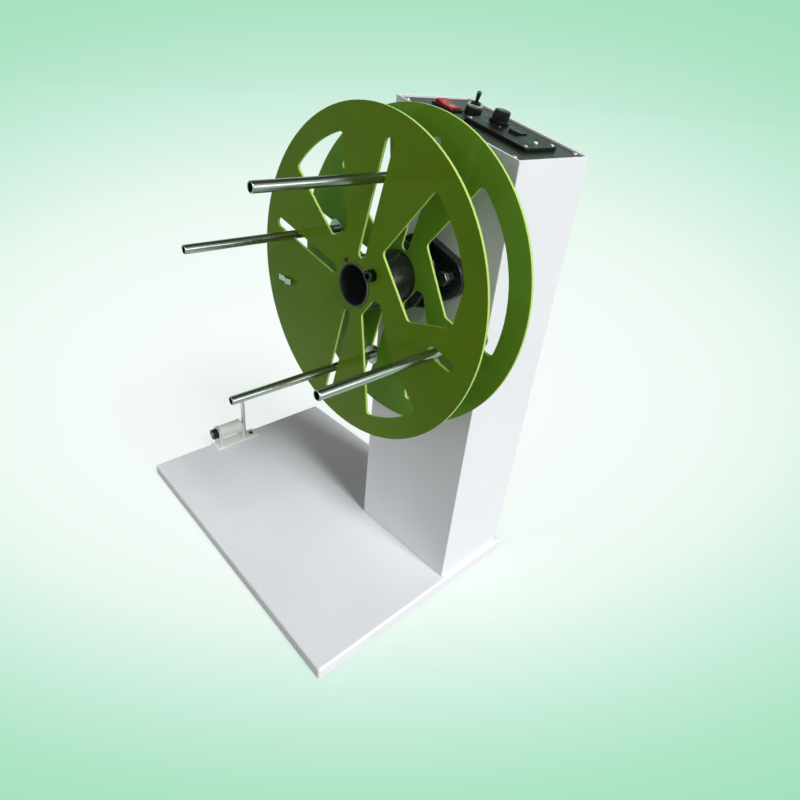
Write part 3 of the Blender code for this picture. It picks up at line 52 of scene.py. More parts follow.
log = logging.getLogger("pay_off_machine")
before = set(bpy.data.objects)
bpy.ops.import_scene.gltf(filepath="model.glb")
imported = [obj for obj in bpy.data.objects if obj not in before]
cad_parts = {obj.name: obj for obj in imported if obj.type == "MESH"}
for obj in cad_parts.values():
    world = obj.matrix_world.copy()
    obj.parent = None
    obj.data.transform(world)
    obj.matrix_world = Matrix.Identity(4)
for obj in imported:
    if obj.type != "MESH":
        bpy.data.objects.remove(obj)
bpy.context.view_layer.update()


class Body(Enum):
    """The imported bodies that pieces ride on."""

    STAND = "stand"
    REEL = "reel"
    SLIDING_FLANGE = "sliding_flange"
    LOCK_SCREW = "lock_screw"
    DRIVE_OUTPUT = "drive_output"
    ROLLER = "roller"
    POWER_SWITCH = "power_switch"
    TOGGLE_SWITCH = "toggle_switch"
    SPEED_DIAL = "speed_dial"
    RUN_SWITCH = "run_switch"


class Slot(Enum):
    """The record's material slots."""

    WHITE_COAT = "white_coat"
    PANEL_COAT = "panel_coat"
    GREEN_ACRYLIC = "green_acrylic"
    BLACK_PLASTIC = "black_plastic"
    GLOSS_BLACK = "gloss_black"
    BLACK_IRON = "black_iron"
    BRIGHT_STEEL = "bright_steel"
    POLISHED_STEEL = "polished_steel"
    ZINC_STEEL = "zinc_steel"
    RED_PLASTIC = "red_plastic"
    RUBBER = "rubber"
    NYLON = "nylon"
    LAMP_LENS = "lamp_lens"
    CREAM_PLASTIC = "cream_plastic"


class Grain(Enum):
    """How a metal's fine lines run: the pattern's scale along X, Y and Z."""

    TURNED_ABOUT_X = (5200.0, 60.0, 60.0)
    TURNED_ABOUT_Z = (60.0, 60.0, 5200.0)
    DRAWN_ALONG_X = (18.0, 2600.0, 2600.0)
    DRAWN_ALONG_Y = (2600.0, 18.0, 2600.0)
    CAST = (900.0, 900.0, 900.0)


class Recess(Enum):
    """What a screwdriver or key turns a screw by."""

    CROSS = "cross"
    HEX = "hex"


# Finishes


def linear(colour: Colour) -> Colour:
    """Turns a colour on the 0 to 255 scale of a screen into scene values.

    Args:
        colour: red, green and blue.

    Returns:
        The same colour as linear red, green and blue.
    """
    shares = [value / 255 for value in colour]
    return tuple(s / 12.92 if s <= 0.04045 else ((s + 0.055) / 1.055) ** 2.4 for s in shares)


class NodeBoard:
    """A new material and the wiring of its nodes."""

    def __init__(self, name: str) -> None:
        """Makes the material.

        Args:
            name: the material's name.
        """
        self.material = bpy.data.materials.new(name)
        self.material.use_nodes = True
        self.tree = self.material.node_tree
        self.shader = self.tree.nodes["Principled BSDF"]
        self.output = self.tree.nodes["Material Output"]

    def add(self, kind: str, inputs: Inputs | None = None, **settings: object) -> bpy.types.Node:
        """Adds a node and feeds it.

        Args:
            kind: the node's type, without ShaderNode in front.
            inputs: sockets, numbers or colours, by the input's name or place.
            settings: its properties.

        Returns:
            The node.
        """
        node = self.tree.nodes.new("ShaderNode" + kind)
        for name, value in settings.items():
            setattr(node, name, value)
        for socket, value in (inputs or {}).items():
            self.feed(node, socket, value)
        return node

    def feed(self, node: bpy.types.Node, socket: str | int, value: object) -> None:
        """Links a socket to an input, or sets the input to a number or colour.

        Args:
            node: the node with the input.
            socket: the input's name or place.
            value: an output socket, or what to set.
        """
        if isinstance(value, Socket):
            self.tree.links.new(value, node.inputs[socket])
        else:
            node.inputs[socket].default_value = value

    def place(self, centre: Point = (0, 0, 0), scale: Point = (1, 1, 1)) -> Socket:
        """Reads the place on the piece, seen from a centre and stretched along each axis."""
        source, origin = self.add("TexCoord").outputs["Object"], tuple(-c * s for c, s in zip(centre, scale))
        return self.add("Mapping", {"Vector": source, "Location": origin, "Scale": scale}).outputs["Vector"]

    def noise(self, scale: float, vector: object = None, detail: float = 2.0) -> Socket:
        """Makes a pattern from 0 to 1 with so many clouds in a metre, and detail finer layers in each."""
        inputs = {"Vector": vector or self.place(), "Scale": scale, "Detail": detail}
        return self.add("TexNoise", inputs).outputs[0]

    def between(self, value: object, low: float, high: float, start: float = 0.3, end: float = 0.7) -> Socket:
        """Turns a pattern into a number: low where the pattern is at its start, and high at its end."""
        return self.add("MapRange", dict(enumerate((value, start, end, low, high))), clamp=True).outputs[0]

    def cloudy(self, scale: float, detail: float, levels: Pair = (0.0, 1.0), **ends: float) -> Socket:
        """Makes a cloudy pattern between two levels; ends are the start and end that between() takes."""
        return self.between(self.noise(scale, detail=detail), *levels, **ends)

    def blend(self, share: object, first: object, second: object) -> Socket:
        """Mixes two colours, each a linear one or a socket, by the share of the second."""
        first, second = ((*tone, 1.0) if isinstance(tone, tuple) else tone for tone in (first, second))
        return self.add("Mix", {0: share, 6: first, 7: second}, data_type="RGBA").outputs[2]

    def maths(self, operation: str, first: object, second: object = 0.0) -> Socket:
        """Works out one number from two, by Blender's name for the sum."""
        return self.add("Math", {0: first, 1: second}, operation=operation).outputs[0]

    def relief(self, height: object, depth: float, strength: float, under: object = None) -> Socket:
        """Raises a pattern from the surface by a depth in metres, over a coarser relief if there is one."""
        base = {"Normal": under} if under else {}
        return self.add("Bump", {"Strength": strength, "Distance": depth, "Height": height} | base).outputs[0]

    def facing(self, axis: str) -> Socket:
        """Reads how far the surface faces along X, Y or Z of the piece, from -1 to 1."""
        return self.add("SeparateXYZ", {0: self.add("TexCoord").outputs["Normal"]}).outputs[axis]

    def along(self, vector: Socket, axis: Point) -> Socket:
        """Measures a vector along an axis, whose length is the scale."""
        return self.add("VectorMath", {0: vector, 1: axis}, operation="DOT_PRODUCT").outputs["Value"]

    def ramp(self, value: object, stops: Sequence[tuple[float, Colour]]) -> Socket:
        """Looks a number up on a scale of colours.

        Args:
            value: the number.
            stops: places from 0 to 1 with their colours, linear.

        Returns:
            The colour.
        """
        node = self.add("ValToRGB", {0: value})
        band = node.color_ramp
        while len(band.elements) < len(stops):
            band.elements.new(0.5)
        for element, (place, colour) in zip(band.elements, stops):
            element.position = place
            element.color = (*colour, 1.0)
        return node.outputs[0]

    def where_seen(self, seen: Socket, unseen: Socket) -> Socket:
        """Mixes two shaders: one for camera, mirror and glass rays, the other for the rest.

        Args:
            seen: the shader that shows.
            unseen: the shader that only lights.

        Returns:
            The mixed shader.
        """
        path = self.add("LightPath")
        total = path.outputs["Is Camera Ray"]
        for name in ("Is Glossy Ray", "Is Transmission Ray"):
            total = self.maths("MAXIMUM", total, path.outputs[name])
        return self.add("MixShader", {0: total, 1: unseen, 2: seen}).outputs[0]

    def finish(self, shader: Socket) -> None:
        """Sends a whole shader to the output."""
        self.feed(self.output, 0, shader)

    def settle(self, **inputs: object) -> bpy.types.Material:
        """Sets or links the shader's inputs.

        Args:
            inputs: values by input name, with _ for a space.

        Returns:
            The material.
        """
        for name, value in inputs.items():
            if isinstance(value, tuple) and len(value) == 3:
                value = (*value, 1.0)
            self.feed(self.shader, name.replace("_", " "), value)
        return self.material


class SkyBoard(NodeBoard):
    """The scene's sky and the wiring of its nodes."""

    def __init__(self, name: str) -> None:
        """Makes the sky.

        Args:
            name: its name.
        """
        world = bpy.data.worlds.new(name)
        bpy.context.scene.world = world
        world.use_nodes = True
        self.tree = world.node_tree
        self.tree.nodes.clear()
        self.output = self.add("OutputWorld")


@dataclass(frozen=True)
class Finish:
    """A surface finish with the record's slot for it, made into a material once and shared."""

    name: str
    slot: Slot
    colour: Colour
    roughness: float
    spread: ClassVar[Pair] = (0.05, 0.08)
    mottle: ClassVar[Pair] = (1.0, 1.0)
    cloud_scale: ClassVar[float] = 40.0

    def make(self) -> bpy.types.Material:
        """Makes the material. Each kind of finish has its own."""
        raise NotImplementedError

    def material(self) -> bpy.types.Material:
        """Gives the finish's material, made at the first call."""
        return bpy.data.materials.get(self.name) or self.make()

    def shaded(self, share: float) -> Colour:
        """Gives the finish's colour, linear, times a share."""
        return tuple(c * share for c in linear(self.colour))

    def clouded(self, board: NodeBoard, clouds: Socket) -> Socket:
        """Mottles the colour over a pattern from 0 to 1, from its darker share to its lighter one."""
        return board.blend(clouds, *(self.shaded(share) for share in self.mottle))

    def shine(self, board: NodeBoard, pattern: Socket, **ends: float) -> Socket:
        """Spreads the roughness over a pattern, from a little less to a little more."""
        less, more = self.spread
        return board.between(pattern, self.roughness - less, self.roughness + more, **ends)


@dataclass(frozen=True)
class PowderCoat(Finish):
    """Baked powder on sheet steel: a fine orange peel, faint clouds and a little dust."""

    spread = (0.05, 0.06)
    cloud_scale = 5.0
    peel_scale: float = 420.0
    peel_depth: float = 0.00005
    grit_scale: float = 1500.0
    gloss_scale: float = 60.0
    dull_shares: Colour = (0.965, 0.968, 0.972)
    bright_share: float = 1.012
    dust_scale: float = 2300.0
    dust_levels: Pair = (0.0, 0.5)
    dust_reach: Pair = (0.70, 0.78)
    dust_share: float = 0.80
    sheen: float = 0.20

    def make(self) -> bpy.types.Material:
        """Makes the material."""
        board = NodeBoard(self.name)
        dull = tuple(c * share for c, share in zip(linear(self.colour), self.dull_shares))
        tone = board.blend(board.cloudy(self.cloud_scale, 3.0), dull, self.shaded(self.bright_share))
        dust = board.noise(self.dust_scale, detail=1.0)
        specks = board.between(dust, *self.dust_levels, *self.dust_reach)
        tone = board.blend(specks, tone, self.shaded(self.dust_share))
        coarse = board.relief(board.noise(self.peel_scale, detail=1.0), self.peel_depth, 0.5)
        fine = board.relief(board.noise(self.grit_scale), self.peel_depth / 3, 0.4, coarse)
        shine = self.shine(board, board.noise(self.gloss_scale, detail=3.0))
        return board.settle(Base_Color=tone, Roughness=shine, Normal=fine, Specular_IOR_Level=self.sheen)


@dataclass(frozen=True)
class EdgeLitAcrylic(Finish):
    """Dyed acrylic sheet whose cut edges carry a painted highlight and a painted glow, strongest where they
    face -Y, towards the main lamp.
    """

    spread = (0.0, 0.08)
    mottle = (0.90, 1.09)
    cloud_scale = 7.0
    # The cut edges' painted light: the highlight's colour, which also glows, the share of the acrylic's colour
    # that shaded edges keep as painted shade, and the painted glow's strength.
    edge: Colour = (178, 209, 112)
    painted_edge_shade: float = 0.9
    glow: float = 0.13
    sheen: float = 0.14
    sheen_tint: Colour = (0.62, 1.0, 0.35)
    cut_turn: Pair = (0.55, 0.80)
    lit_turn: Pair = (-0.45, 0.20)
    unlit_share: float = 0.30
    saw_scale: Point = (160.0, 1400.0, 1400.0)
    saw_share: float = 0.82
    scratch_scale: Point = (50.0, 900.0, 70.0)
    ripple_scale: float = 28.0
    ripple_depth: float = 0.0004

    def make(self) -> bpy.types.Material:
        """Makes the material."""
        board = NodeBoard(self.name)
        tone = self.clouded(board, board.cloudy(self.cloud_scale, 3.0))
        cut = board.between(board.maths("ABSOLUTE", board.facing("X")), 1.0, 0.0, *self.cut_turn)
        saw = board.between(board.noise(1.0, board.place(scale=self.saw_scale)), self.saw_share, 1.0)
        # Painted highlight: cut edges turn lighter the more they face -Y, towards the main lamp, broken up by
        # the saw marks.
        turned = board.between(board.facing("Y"), 1.0, self.unlit_share, *self.lit_turn)
        lit = board.maths("MULTIPLY", saw, turned)
        edge = board.blend(lit, self.shaded(self.painted_edge_shade), linear(self.edge))
        scratches = board.noise(1.0, board.place(scale=self.scratch_scale), 4.0)
        # Painted glow: the lit cut edges give out light though no lamp is there.
        glow = board.maths("MULTIPLY", board.maths("MULTIPLY", cut, lit), self.glow)
        return board.settle(
            Base_Color=board.blend(cut, tone, edge),
            Roughness=self.shine(board, scratches, start=0.45, end=0.75),
            Normal=board.relief(board.noise(self.ripple_scale, detail=1.0), self.ripple_depth, 0.05),
            Emission_Color=linear(self.edge), Emission_Strength=glow, Specular_IOR_Level=self.sheen,
            Specular_Tint=self.sheen_tint,
        )


@dataclass(frozen=True)
class FineMetal(Finish):
    """Machined or drawn metal with fine lines along its grain."""

    spread = (0.04, 0.07)
    cloud_scale = 45.0
    grain: Grain = Grain.TURNED_ABOUT_X
    line_depth: float = 0.000012
    tarnish: float = 0.07

    def lines(self, board: NodeBoard) -> Socket:
        """Makes the pattern of the fine lines."""
        return board.noise(1.0, board.place(scale=self.grain.value), 3.0)

    def make(self) -> bpy.types.Material:
        """Makes the material."""
        board = NodeBoard(self.name)
        lines, clouds = self.lines(board), board.cloudy(self.cloud_scale, 3.0)
        tone = board.blend(clouds, self.shaded(1 - self.tarnish * 2), linear(self.colour))
        return board.settle(Base_Color=tone, Roughness=self.shine(board, lines), Metallic=1.0,
                            Normal=board.relief(lines, self.line_depth, 0.7))


@dataclass(frozen=True)
class DarkBore(FineMetal):
    """Bright tube with painted shade inside its bore, dark from a little way behind its mouth."""

    spread = (0.03, 0.06)
    centre: Point = (0.0, -0.1072, 0.4533)
    bore: float = 0.0240
    mouth: float = -0.0600
    bright_lip: Pair = (0.0012, 0.0030)
    # The painted shade in the bore: its dark grey levels, cloud scale and added roughness.
    painted_bore_shade: Pair = (0.008, 0.022)
    painted_bore_shade_scale: float = 300.0
    painted_bore_shade_roughness: float = 0.4

    def make(self) -> bpy.types.Material:
        """Makes the material."""
        board = NodeBoard(self.name)
        lines = self.lines(board)
        x, y, z = board.add("SeparateXYZ", {0: board.place(self.centre)}).outputs
        out = board.maths("ADD", board.maths("MULTIPLY", y, y), board.maths("MULTIPLY", z, z))
        inside = board.maths("LESS_THAN", board.maths("SQRT", out), self.bore)
        deep = board.between(x, 0.0, 1.0, *(self.mouth + reach for reach in self.bright_lip))
        dark = board.maths("MULTIPLY", inside, deep)
        # Painted shade: inside the bore the metal gives way to a mottled dark grey, where shade falls in the
        # tube.
        painted_bore_shade = board.cloudy(self.painted_bore_shade_scale, 2.0, self.painted_bore_shade)
        black = board.add("CombineColor", dict.fromkeys(range(3), painted_bore_shade))
        rougher = board.maths("MULTIPLY", dark, self.painted_bore_shade_roughness)
        return board.settle(
            Base_Color=board.blend(dark, linear(self.colour), black.outputs[0]),
            Roughness=board.maths("ADD", self.shine(board, lines), rougher),
            Metallic=board.maths("SUBTRACT", 1.0, dark), Normal=board.relief(lines, self.line_depth, 0.7),
        )


@dataclass(frozen=True)
class Moulding(Finish):
    """Moulded plastic: a fine spark-eroded grain, or a polished skin where the grain is 0."""

    cloud_scale = 38.0
    grain_depth: float
    fleck: float
    gloss: float = 0.5
    grain_scale: float = 2100.0
    gloss_scale: float = 140.0

    def make(self) -> bpy.types.Material:
        """Makes the material."""
        board = NodeBoard(self.name)
        clouds = board.cloudy(self.cloud_scale, 3.0)
        tone = board.blend(clouds, self.shaded(1 - self.fleck), self.shaded(1 + self.fleck))
        relief = board.relief(board.noise(self.grain_scale), self.grain_depth, 0.6)
        return board.settle(Base_Color=tone, Roughness=self.shine(board, board.noise(self.gloss_scale)),
                            Normal=relief, Specular_IOR_Level=self.gloss)


@dataclass(frozen=True)
class PaintedCasting(Finish):
    """Black enamel over a sand casting, worn a little in cloudy patches."""

    spread = (0.08, 0.12)
    mottle = (0.8, 1.5)
    cloud_scale = 90.0
    pit_depth: float
    pit_scale: float = 260.0
    grit_scale: float = 1300.0
    gloss_scale: float = 180.0
    sheen: float = 0.5

    def make(self) -> bpy.types.Material:
        """Makes the material."""
        board = NodeBoard(self.name)
        tone = self.clouded(board, board.cloudy(self.cloud_scale, 4.0, start=0.35))
        coarse = board.relief(board.noise(self.pit_scale, detail=3.0), self.pit_depth, 0.55)
        fine = board.relief(board.noise(self.grit_scale), self.pit_depth / 5, 0.5, coarse)
        shine = self.shine(board, board.noise(self.gloss_scale))
        return board.settle(Base_Color=tone, Roughness=shine, Normal=fine, Specular_IOR_Level=self.sheen)


@dataclass(frozen=True)
class Anodised(Finish):
    """Dark anodised sheet with a fine brushed grain along Y."""

    spread = (0.05, 0.09)
    mottle = (0.86, 1.12)
    cloud_scale = 22.0
    stains: Pair = (0.0, 0.35)
    stain_share: float = 0.78
    line_depth: float = 0.000018
    metal: float = 0.12
    sheen: float = 0.26

    def make(self) -> bpy.types.Material:
        """Makes the material."""
        board = NodeBoard(self.name)
        lines = board.noise(1.0, board.place(scale=Grain.DRAWN_ALONG_Y.value), 4.0)
        tone = self.clouded(board, board.between(lines, 0.0, 1.0))
        stains = board.cloudy(self.cloud_scale, 3.0, self.stains)
        tone = board.blend(stains, tone, self.shaded(self.stain_share))
        return board.settle(Base_Color=tone, Roughness=self.shine(board, lines), Metallic=self.metal,
                            Specular_IOR_Level=self.sheen, Normal=board.relief(lines, self.line_depth, 0.6))


@dataclass(frozen=True)
class Rubber(Finish):
    """Black rubber with a dusty bloom."""

    spread = (0.1, 0.1)
    cloud_scale = 70.0
    dust: Colour = (0.085, 0.083, 0.080)
    bloom: Pair = (0.0, 0.5)
    grain_scale: float = 1500.0
    grain_depth: float = 0.00006

    def make(self) -> bpy.types.Material:
        """Makes the material."""
        board = NodeBoard(self.name)
        bloom = board.cloudy(self.cloud_scale, 4.0, self.bloom, start=0.4, end=0.75)
        relief = board.relief(board.noise(self.grain_scale, detail=3.0), self.grain_depth, 0.6)
        return board.settle(Base_Color=board.blend(bloom, linear(self.colour), self.dust), Normal=relief,
                            Roughness=self.shine(board, bloom, start=0.0, end=0.5))


@dataclass(frozen=True)
class ClearLens(Finish):
    """A small frosted lamp lens with a warm heart."""

    spread = (0.04, 0.08)
    heart: Colour = (0.72, 0.70, 0.66)
    frost_scale: float = 900.0
    frost_depth: float = 0.00005

    def make(self) -> bpy.types.Material:
        """Makes the material."""
        board = NodeBoard(self.name)
        frost = board.noise(self.frost_scale)
        tone = board.blend(board.between(frost, 0.0, 1.0), self.heart, linear(self.colour))
        return board.settle(Base_Color=tone, Roughness=self.shine(board, frost), Subsurface_Weight=0.3,
                            Normal=board.relief(frost, self.frost_depth, 0.4))


WHITE_SHEET = PowderCoat("white_powder_coat", Slot.WHITE_COAT, (232, 235, 239), 0.46)
COVER_SHEET = PowderCoat("cover_powder_coat", Slot.WHITE_COAT, (220, 223, 226), 0.44)
GUIDE_WHITE = PowderCoat("guide_powder_coat", Slot.WHITE_COAT, (240, 241, 236), 0.38)
FRONT_ACRYLIC = EdgeLitAcrylic("front_disc_acrylic", Slot.GREEN_ACRYLIC, (104, 138, 20), 0.07)
REAR_ACRYLIC = EdgeLitAcrylic("rear_disc_acrylic", Slot.GREEN_ACRYLIC, (120, 173, 50), 0.07)
PANEL_METAL = Anodised("panel_anodised", Slot.PANEL_COAT, (40, 42, 38), 0.36)
BLACK_MOULDING = Moulding("black_moulding", Slot.BLACK_PLASTIC, (12, 12, 12), 0.40, 3e-5, 0.12, 0.3)
DARK_KNOB = Moulding("knob_moulding", Slot.BLACK_PLASTIC, (9, 9, 9), 0.34, 2e-5, 0.12, 0.25)
GLOSSY_SLEEVE = Moulding("glossy_sleeve", Slot.GLOSS_BLACK, (13, 13, 15), 0.22, 0.0, 0.08, 1.0)
RED_KEY = Moulding("red_key", Slot.RED_PLASTIC, (156, 20, 26), 0.30, 6e-6, 0.05, 0.3)
WHITE_PRINT = Moulding("white_print", Slot.LAMP_LENS, (214, 216, 214), 0.5, 1e-5, 0.03)
NYLON_WHITE = Moulding("white_nylon", Slot.NYLON, (222, 226, 221), 0.38, 2e-5, 0.02)
CREAM_MOULDING = Moulding("cream_moulding", Slot.CREAM_PLASTIC, (226, 220, 204), 0.45, 2e-5, 0.03)
BLACK_CASTING = PaintedCasting("black_casting", Slot.BLACK_IRON, (25, 26, 28), 0.24, 1.5e-4)
MOTOR_ENAMEL = PaintedCasting("motor_enamel", Slot.BLACK_IRON, (30, 31, 33), 0.34, 8e-5)
ROD_STEEL = FineMetal("rod_steel", Slot.BRIGHT_STEEL, (184, 181, 178), 0.18, Grain.TURNED_ABOUT_X, 2e-6)
SHAFT_STEEL = FineMetal("shaft_steel", Slot.BRIGHT_STEEL, (196, 198, 200), 0.22)
TUBE_STEEL = DarkBore("hub_tube_steel", Slot.BRIGHT_STEEL, (206, 208, 210), 0.16)
POST_STEEL = FineMetal("post_steel", Slot.BRIGHT_STEEL, (232, 233, 232), 0.32, Grain.TURNED_ABOUT_Z, 2e-6)
SPRING_STEEL = FineMetal("spring_steel", Slot.BRIGHT_STEEL, (198, 199, 200), 0.2, Grain.DRAWN_ALONG_X, 1e-5)
NICKEL = FineMetal("nickel_plate", Slot.POLISHED_STEEL, (232, 232, 230), 0.30, Grain.TURNED_ABOUT_Z, 6e-6)
BLACK_NICKEL = FineMetal("black_nickel", Slot.POLISHED_STEEL, (92, 94, 92), 0.22, Grain.TURNED_ABOUT_Z, 6e-6)
BLACK_CHROME = FineMetal("black_chrome", Slot.BLACK_PLASTIC, (58, 58, 60), 0.22, Grain.CAST, 1e-5)
BLACK_OXIDE = FineMetal("black_oxide", Slot.BLACK_IRON, (66, 66, 68), 0.34, Grain.CAST, 2e-5)
ZINC = FineMetal("zinc_plate", Slot.ZINC_STEEL, (176, 178, 178), 0.32, Grain.CAST, 2e-5, 0.12)
GREY_CASTING = FineMetal("aluminium_casting", Slot.ZINC_STEEL, (168, 170, 172), 0.42, Grain.CAST, 8e-5, 0.15)
BLACK_RUBBER = Rubber("black_rubber", Slot.RUBBER, (26, 26, 26), 0.8)
LAMP_GLASS = ClearLens("lamp_lens", Slot.LAMP_LENS, (238, 234, 224), 0.12)


# Modelling


class Workpiece:
    """One mesh object while it is modelled with Blender's operators."""

    NODE_MERGE = 2e-6
    LATHE_MERGE = 1e-6
    FLAT_ANGLE = math.radians(0.6)
    SMOOTH_ANGLE = math.radians(32.0)

    def __init__(self, obj: bpy.types.Object) -> None:
        """Takes a mesh object in hand."""
        self.obj = obj

    @staticmethod
    def clear_hands() -> None:
        """Leaves edit mode and deselects all."""
        if bpy.context.object and bpy.context.object.mode != "OBJECT":
            bpy.ops.object.mode_set(mode="OBJECT")
        bpy.ops.object.select_all(action="DESELECT")

    @classmethod
    def primitive(cls, name: str, maker: Callable[..., object], **settings: object) -> Workpiece:
        """Makes a primitive alone, names it and puts its place in its mesh.

        Args:
            name: the piece's name.
            maker: the operator that adds the primitive.
            settings: what the operator takes.

        Returns:
            The workpiece.
        """
        cls.clear_hands()
        maker(**settings)
        return cls.named(name)

    @classmethod
    def named(cls, name: str) -> Workpiece:
        """Names the new object and puts its place in its mesh.

        Args:
            name: the piece's name.

        Returns:
            The workpiece.
        """
        obj = bpy.context.object
        obj.name = obj.data.name = name
        bpy.ops.object.transform_apply(location=True, rotation=True, scale=True)
        return cls(obj)

    @classmethod
    def rod(cls, name: str, radius: float, length: float, sides: int, start: float = 0.0) -> Workpiece:
        """Makes a round bar along Z with so many flats, from a start along Z."""
        middle = (0, 0, start + length / 2)
        return cls.primitive(name, bpy.ops.mesh.primitive_cylinder_add, vertices=sides, radius=radius,
                             depth=length, location=middle)

    @classmethod
    def slab(cls, name: str, size: Point, centre: Point = (0, 0, 0)) -> Workpiece:
        """Makes a square-edged block about its middle."""
        return cls.primitive(name, bpy.ops.mesh.primitive_cube_add, size=1, location=centre, scale=size)

    @classmethod
    def text(cls, name: str, words: str, height: float, thickness: float) -> Workpiece:
        """Makes raised print, centred on the origin and standing on Z = 0.

        Args:
            name: the piece's name.
            words: what it says.
            height: the height of its line.
            thickness: how far it stands up.

        Returns:
            The workpiece.
        """
        cls.clear_hands()
        bpy.ops.object.text_add(location=(0, 0, thickness / 2))
        data = bpy.context.object.data
        data.body = words
        data.size = height
        data.extrude = thickness / 2
        data.align_x, data.align_y = "CENTER", "CENTER"
        data.resolution_u = 4
        bpy.ops.object.convert(target="MESH")
        return cls.named(name)

    @classmethod
    def lathe(cls, name: str, outline: Sequence[Pair], sides: int = 48) -> Workpiece:
        """Turns a closed outline about Z.

        Args:
            name: the piece's name.
            outline: (height, radius) of each corner.
            sides: how many steps the turn has.

        Returns:
            The workpiece.
        """
        cls.clear_hands()
        bpy.ops.mesh.primitive_circle_add(vertices=len(outline), radius=1, fill_type="NOTHING")
        obj = bpy.context.object
        obj.name = obj.data.name = name
        for vertex, (height, radius) in zip(obj.data.vertices, outline):
            vertex.co = (radius, 0, height)
        bpy.ops.object.mode_set(mode="EDIT")
        bpy.ops.mesh.select_all(action="SELECT")
        bpy.ops.mesh.spin(steps=sides, angle=math.tau, center=(0, 0, 0), axis=(0, 0, 1))
        bpy.ops.mesh.select_all(action="SELECT")
        bpy.ops.mesh.remove_doubles(threshold=cls.LATHE_MERGE)
        bpy.ops.mesh.delete_loose(use_verts=True, use_edges=True, use_faces=False)
        bpy.ops.mesh.select_all(action="SELECT")
        bpy.ops.mesh.normals_make_consistent(inside=False)
        bpy.ops.object.mode_set(mode="OBJECT")
        return cls(obj)

    @classmethod
    def from_node(cls, name: str, node: str) -> Workpiece:
        """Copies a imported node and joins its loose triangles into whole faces.

        Args:
            name: the copy's name.
            node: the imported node.

        Returns:
            The workpiece.
        """
        cls.clear_hands()
        obj = bpy.data.objects.new(name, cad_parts[node].data.copy())
        obj.data.name = name
        bpy.context.scene.collection.objects.link(obj)
        piece = cls(obj)
        piece.edit()
        bpy.ops.mesh.select_all(action="SELECT")
        bpy.ops.mesh.remove_doubles(threshold=cls.NODE_MERGE)
        bpy.ops.mesh.dissolve_limited(angle_limit=cls.FLAT_ANGLE)
        return piece.leave()

    def take(self) -> None:
        """Selects this piece alone."""
        self.clear_hands()
        bpy.context.view_layer.objects.active = self.obj
        self.obj.select_set(True)

    def edit(self) -> None:
        """Opens this piece alone in edit mode."""
        self.take()
        bpy.ops.object.mode_set(mode="EDIT")

    def leave(self) -> Workpiece:
        """Goes back to object mode."""
        bpy.ops.object.mode_set(mode="OBJECT")
        return self

    def pick_edges(self, test: Test) -> Workpiece:
        """Selects edges by their two ends, in edit mode.

        Args:
            test: takes the places of an edge's ends.

        Returns:
            The workpiece.
        """
        self.edit()
        bpy.ops.mesh.select_mode(type="EDGE")
        bpy.ops.mesh.select_all(action="DESELECT")
        mesh = bmesh.from_edit_mesh(self.obj.data)
        for edge in mesh.edges:
            edge.select_set(bool(test(edge.verts[0].co, edge.verts[1].co)))
        bmesh.update_edit_mesh(self.obj.data)
        return self

    def round_over(self, width: float, segments: int) -> Workpiece:
        """Bevels the selected edges by a width, in so many steps, and leaves edit mode."""
        bpy.ops.mesh.bevel(offset=width, segments=segments, affect="EDGES")
        return self.leave()

    def soften(self, width: float, segments: int = 2, angle: float = 28.0) -> Workpiece:
        """Rounds every edge that is sharper than an angle in degrees, with a Bevel that is then applied."""
        return self.modifier("BEVEL", width=width, segments=segments, limit_method="ANGLE",
                             angle_limit=math.radians(angle), use_clamp_overlap=True)

    def modifier(self, kind: str, **settings: object) -> Workpiece:
        """Adds a modifier and applies it.

        Args:
            kind: Blender's name for it.
            settings: its properties.

        Returns:
            The workpiece.
        """
        self.take()
        modifier = self.obj.modifiers.new(kind.lower(), kind)
        for name, value in settings.items():
            setattr(modifier, name, value)
        bpy.ops.object.modifier_apply(modifier=modifier.name)
        return self

    def cut(self, *tools: Workpiece) -> Workpiece:
        """Cuts other workpieces out of this one and throws them away.

        Args:
            tools: what is cut out.

        Returns:
            The workpiece.
        """
        for tool in tools:
            self.modifier("BOOLEAN", operation="DIFFERENCE", object=tool.obj)
            bpy.data.objects.remove(tool.obj)
        return self

    def join(self, *others: Workpiece) -> Workpiece:
        """Puts other workpieces into this object as they are.

        Args:
            others: what is joined on.

        Returns:
            The workpiece.
        """
        self.clear_hands()
        for other in others:
            other.obj.select_set(True)
        self.obj.select_set(True)
        bpy.context.view_layer.objects.active = self.obj
        bpy.ops.object.join()
        return self

    def move(self, matrix: Matrix) -> Workpiece:
        """Puts the place into the mesh, and leaves the object at the origin.

        Args:
            matrix: from the piece's own axes to the frame.

        Returns:
            The workpiece.
        """
        self.obj.data.transform(matrix)
        self.obj.data.update()
        return self

    def copy(self, name: str, matrix: Matrix | None = None) -> Workpiece:
        """Makes a copy with its own mesh.

        Args:
            name: the copy's name.
            matrix: where it goes, from this piece's axes.

        Returns:
            The copy.
        """
        other = self.obj.copy()
        other.data = self.obj.data.copy()
        other.name = other.data.name = name
        bpy.context.scene.collection.objects.link(other)
        return Workpiece(other).move(matrix or Matrix.Identity(4))

    def discard(self) -> None:
        """Removes a pattern once its copies are made."""
        bpy.data.objects.remove(self.obj)

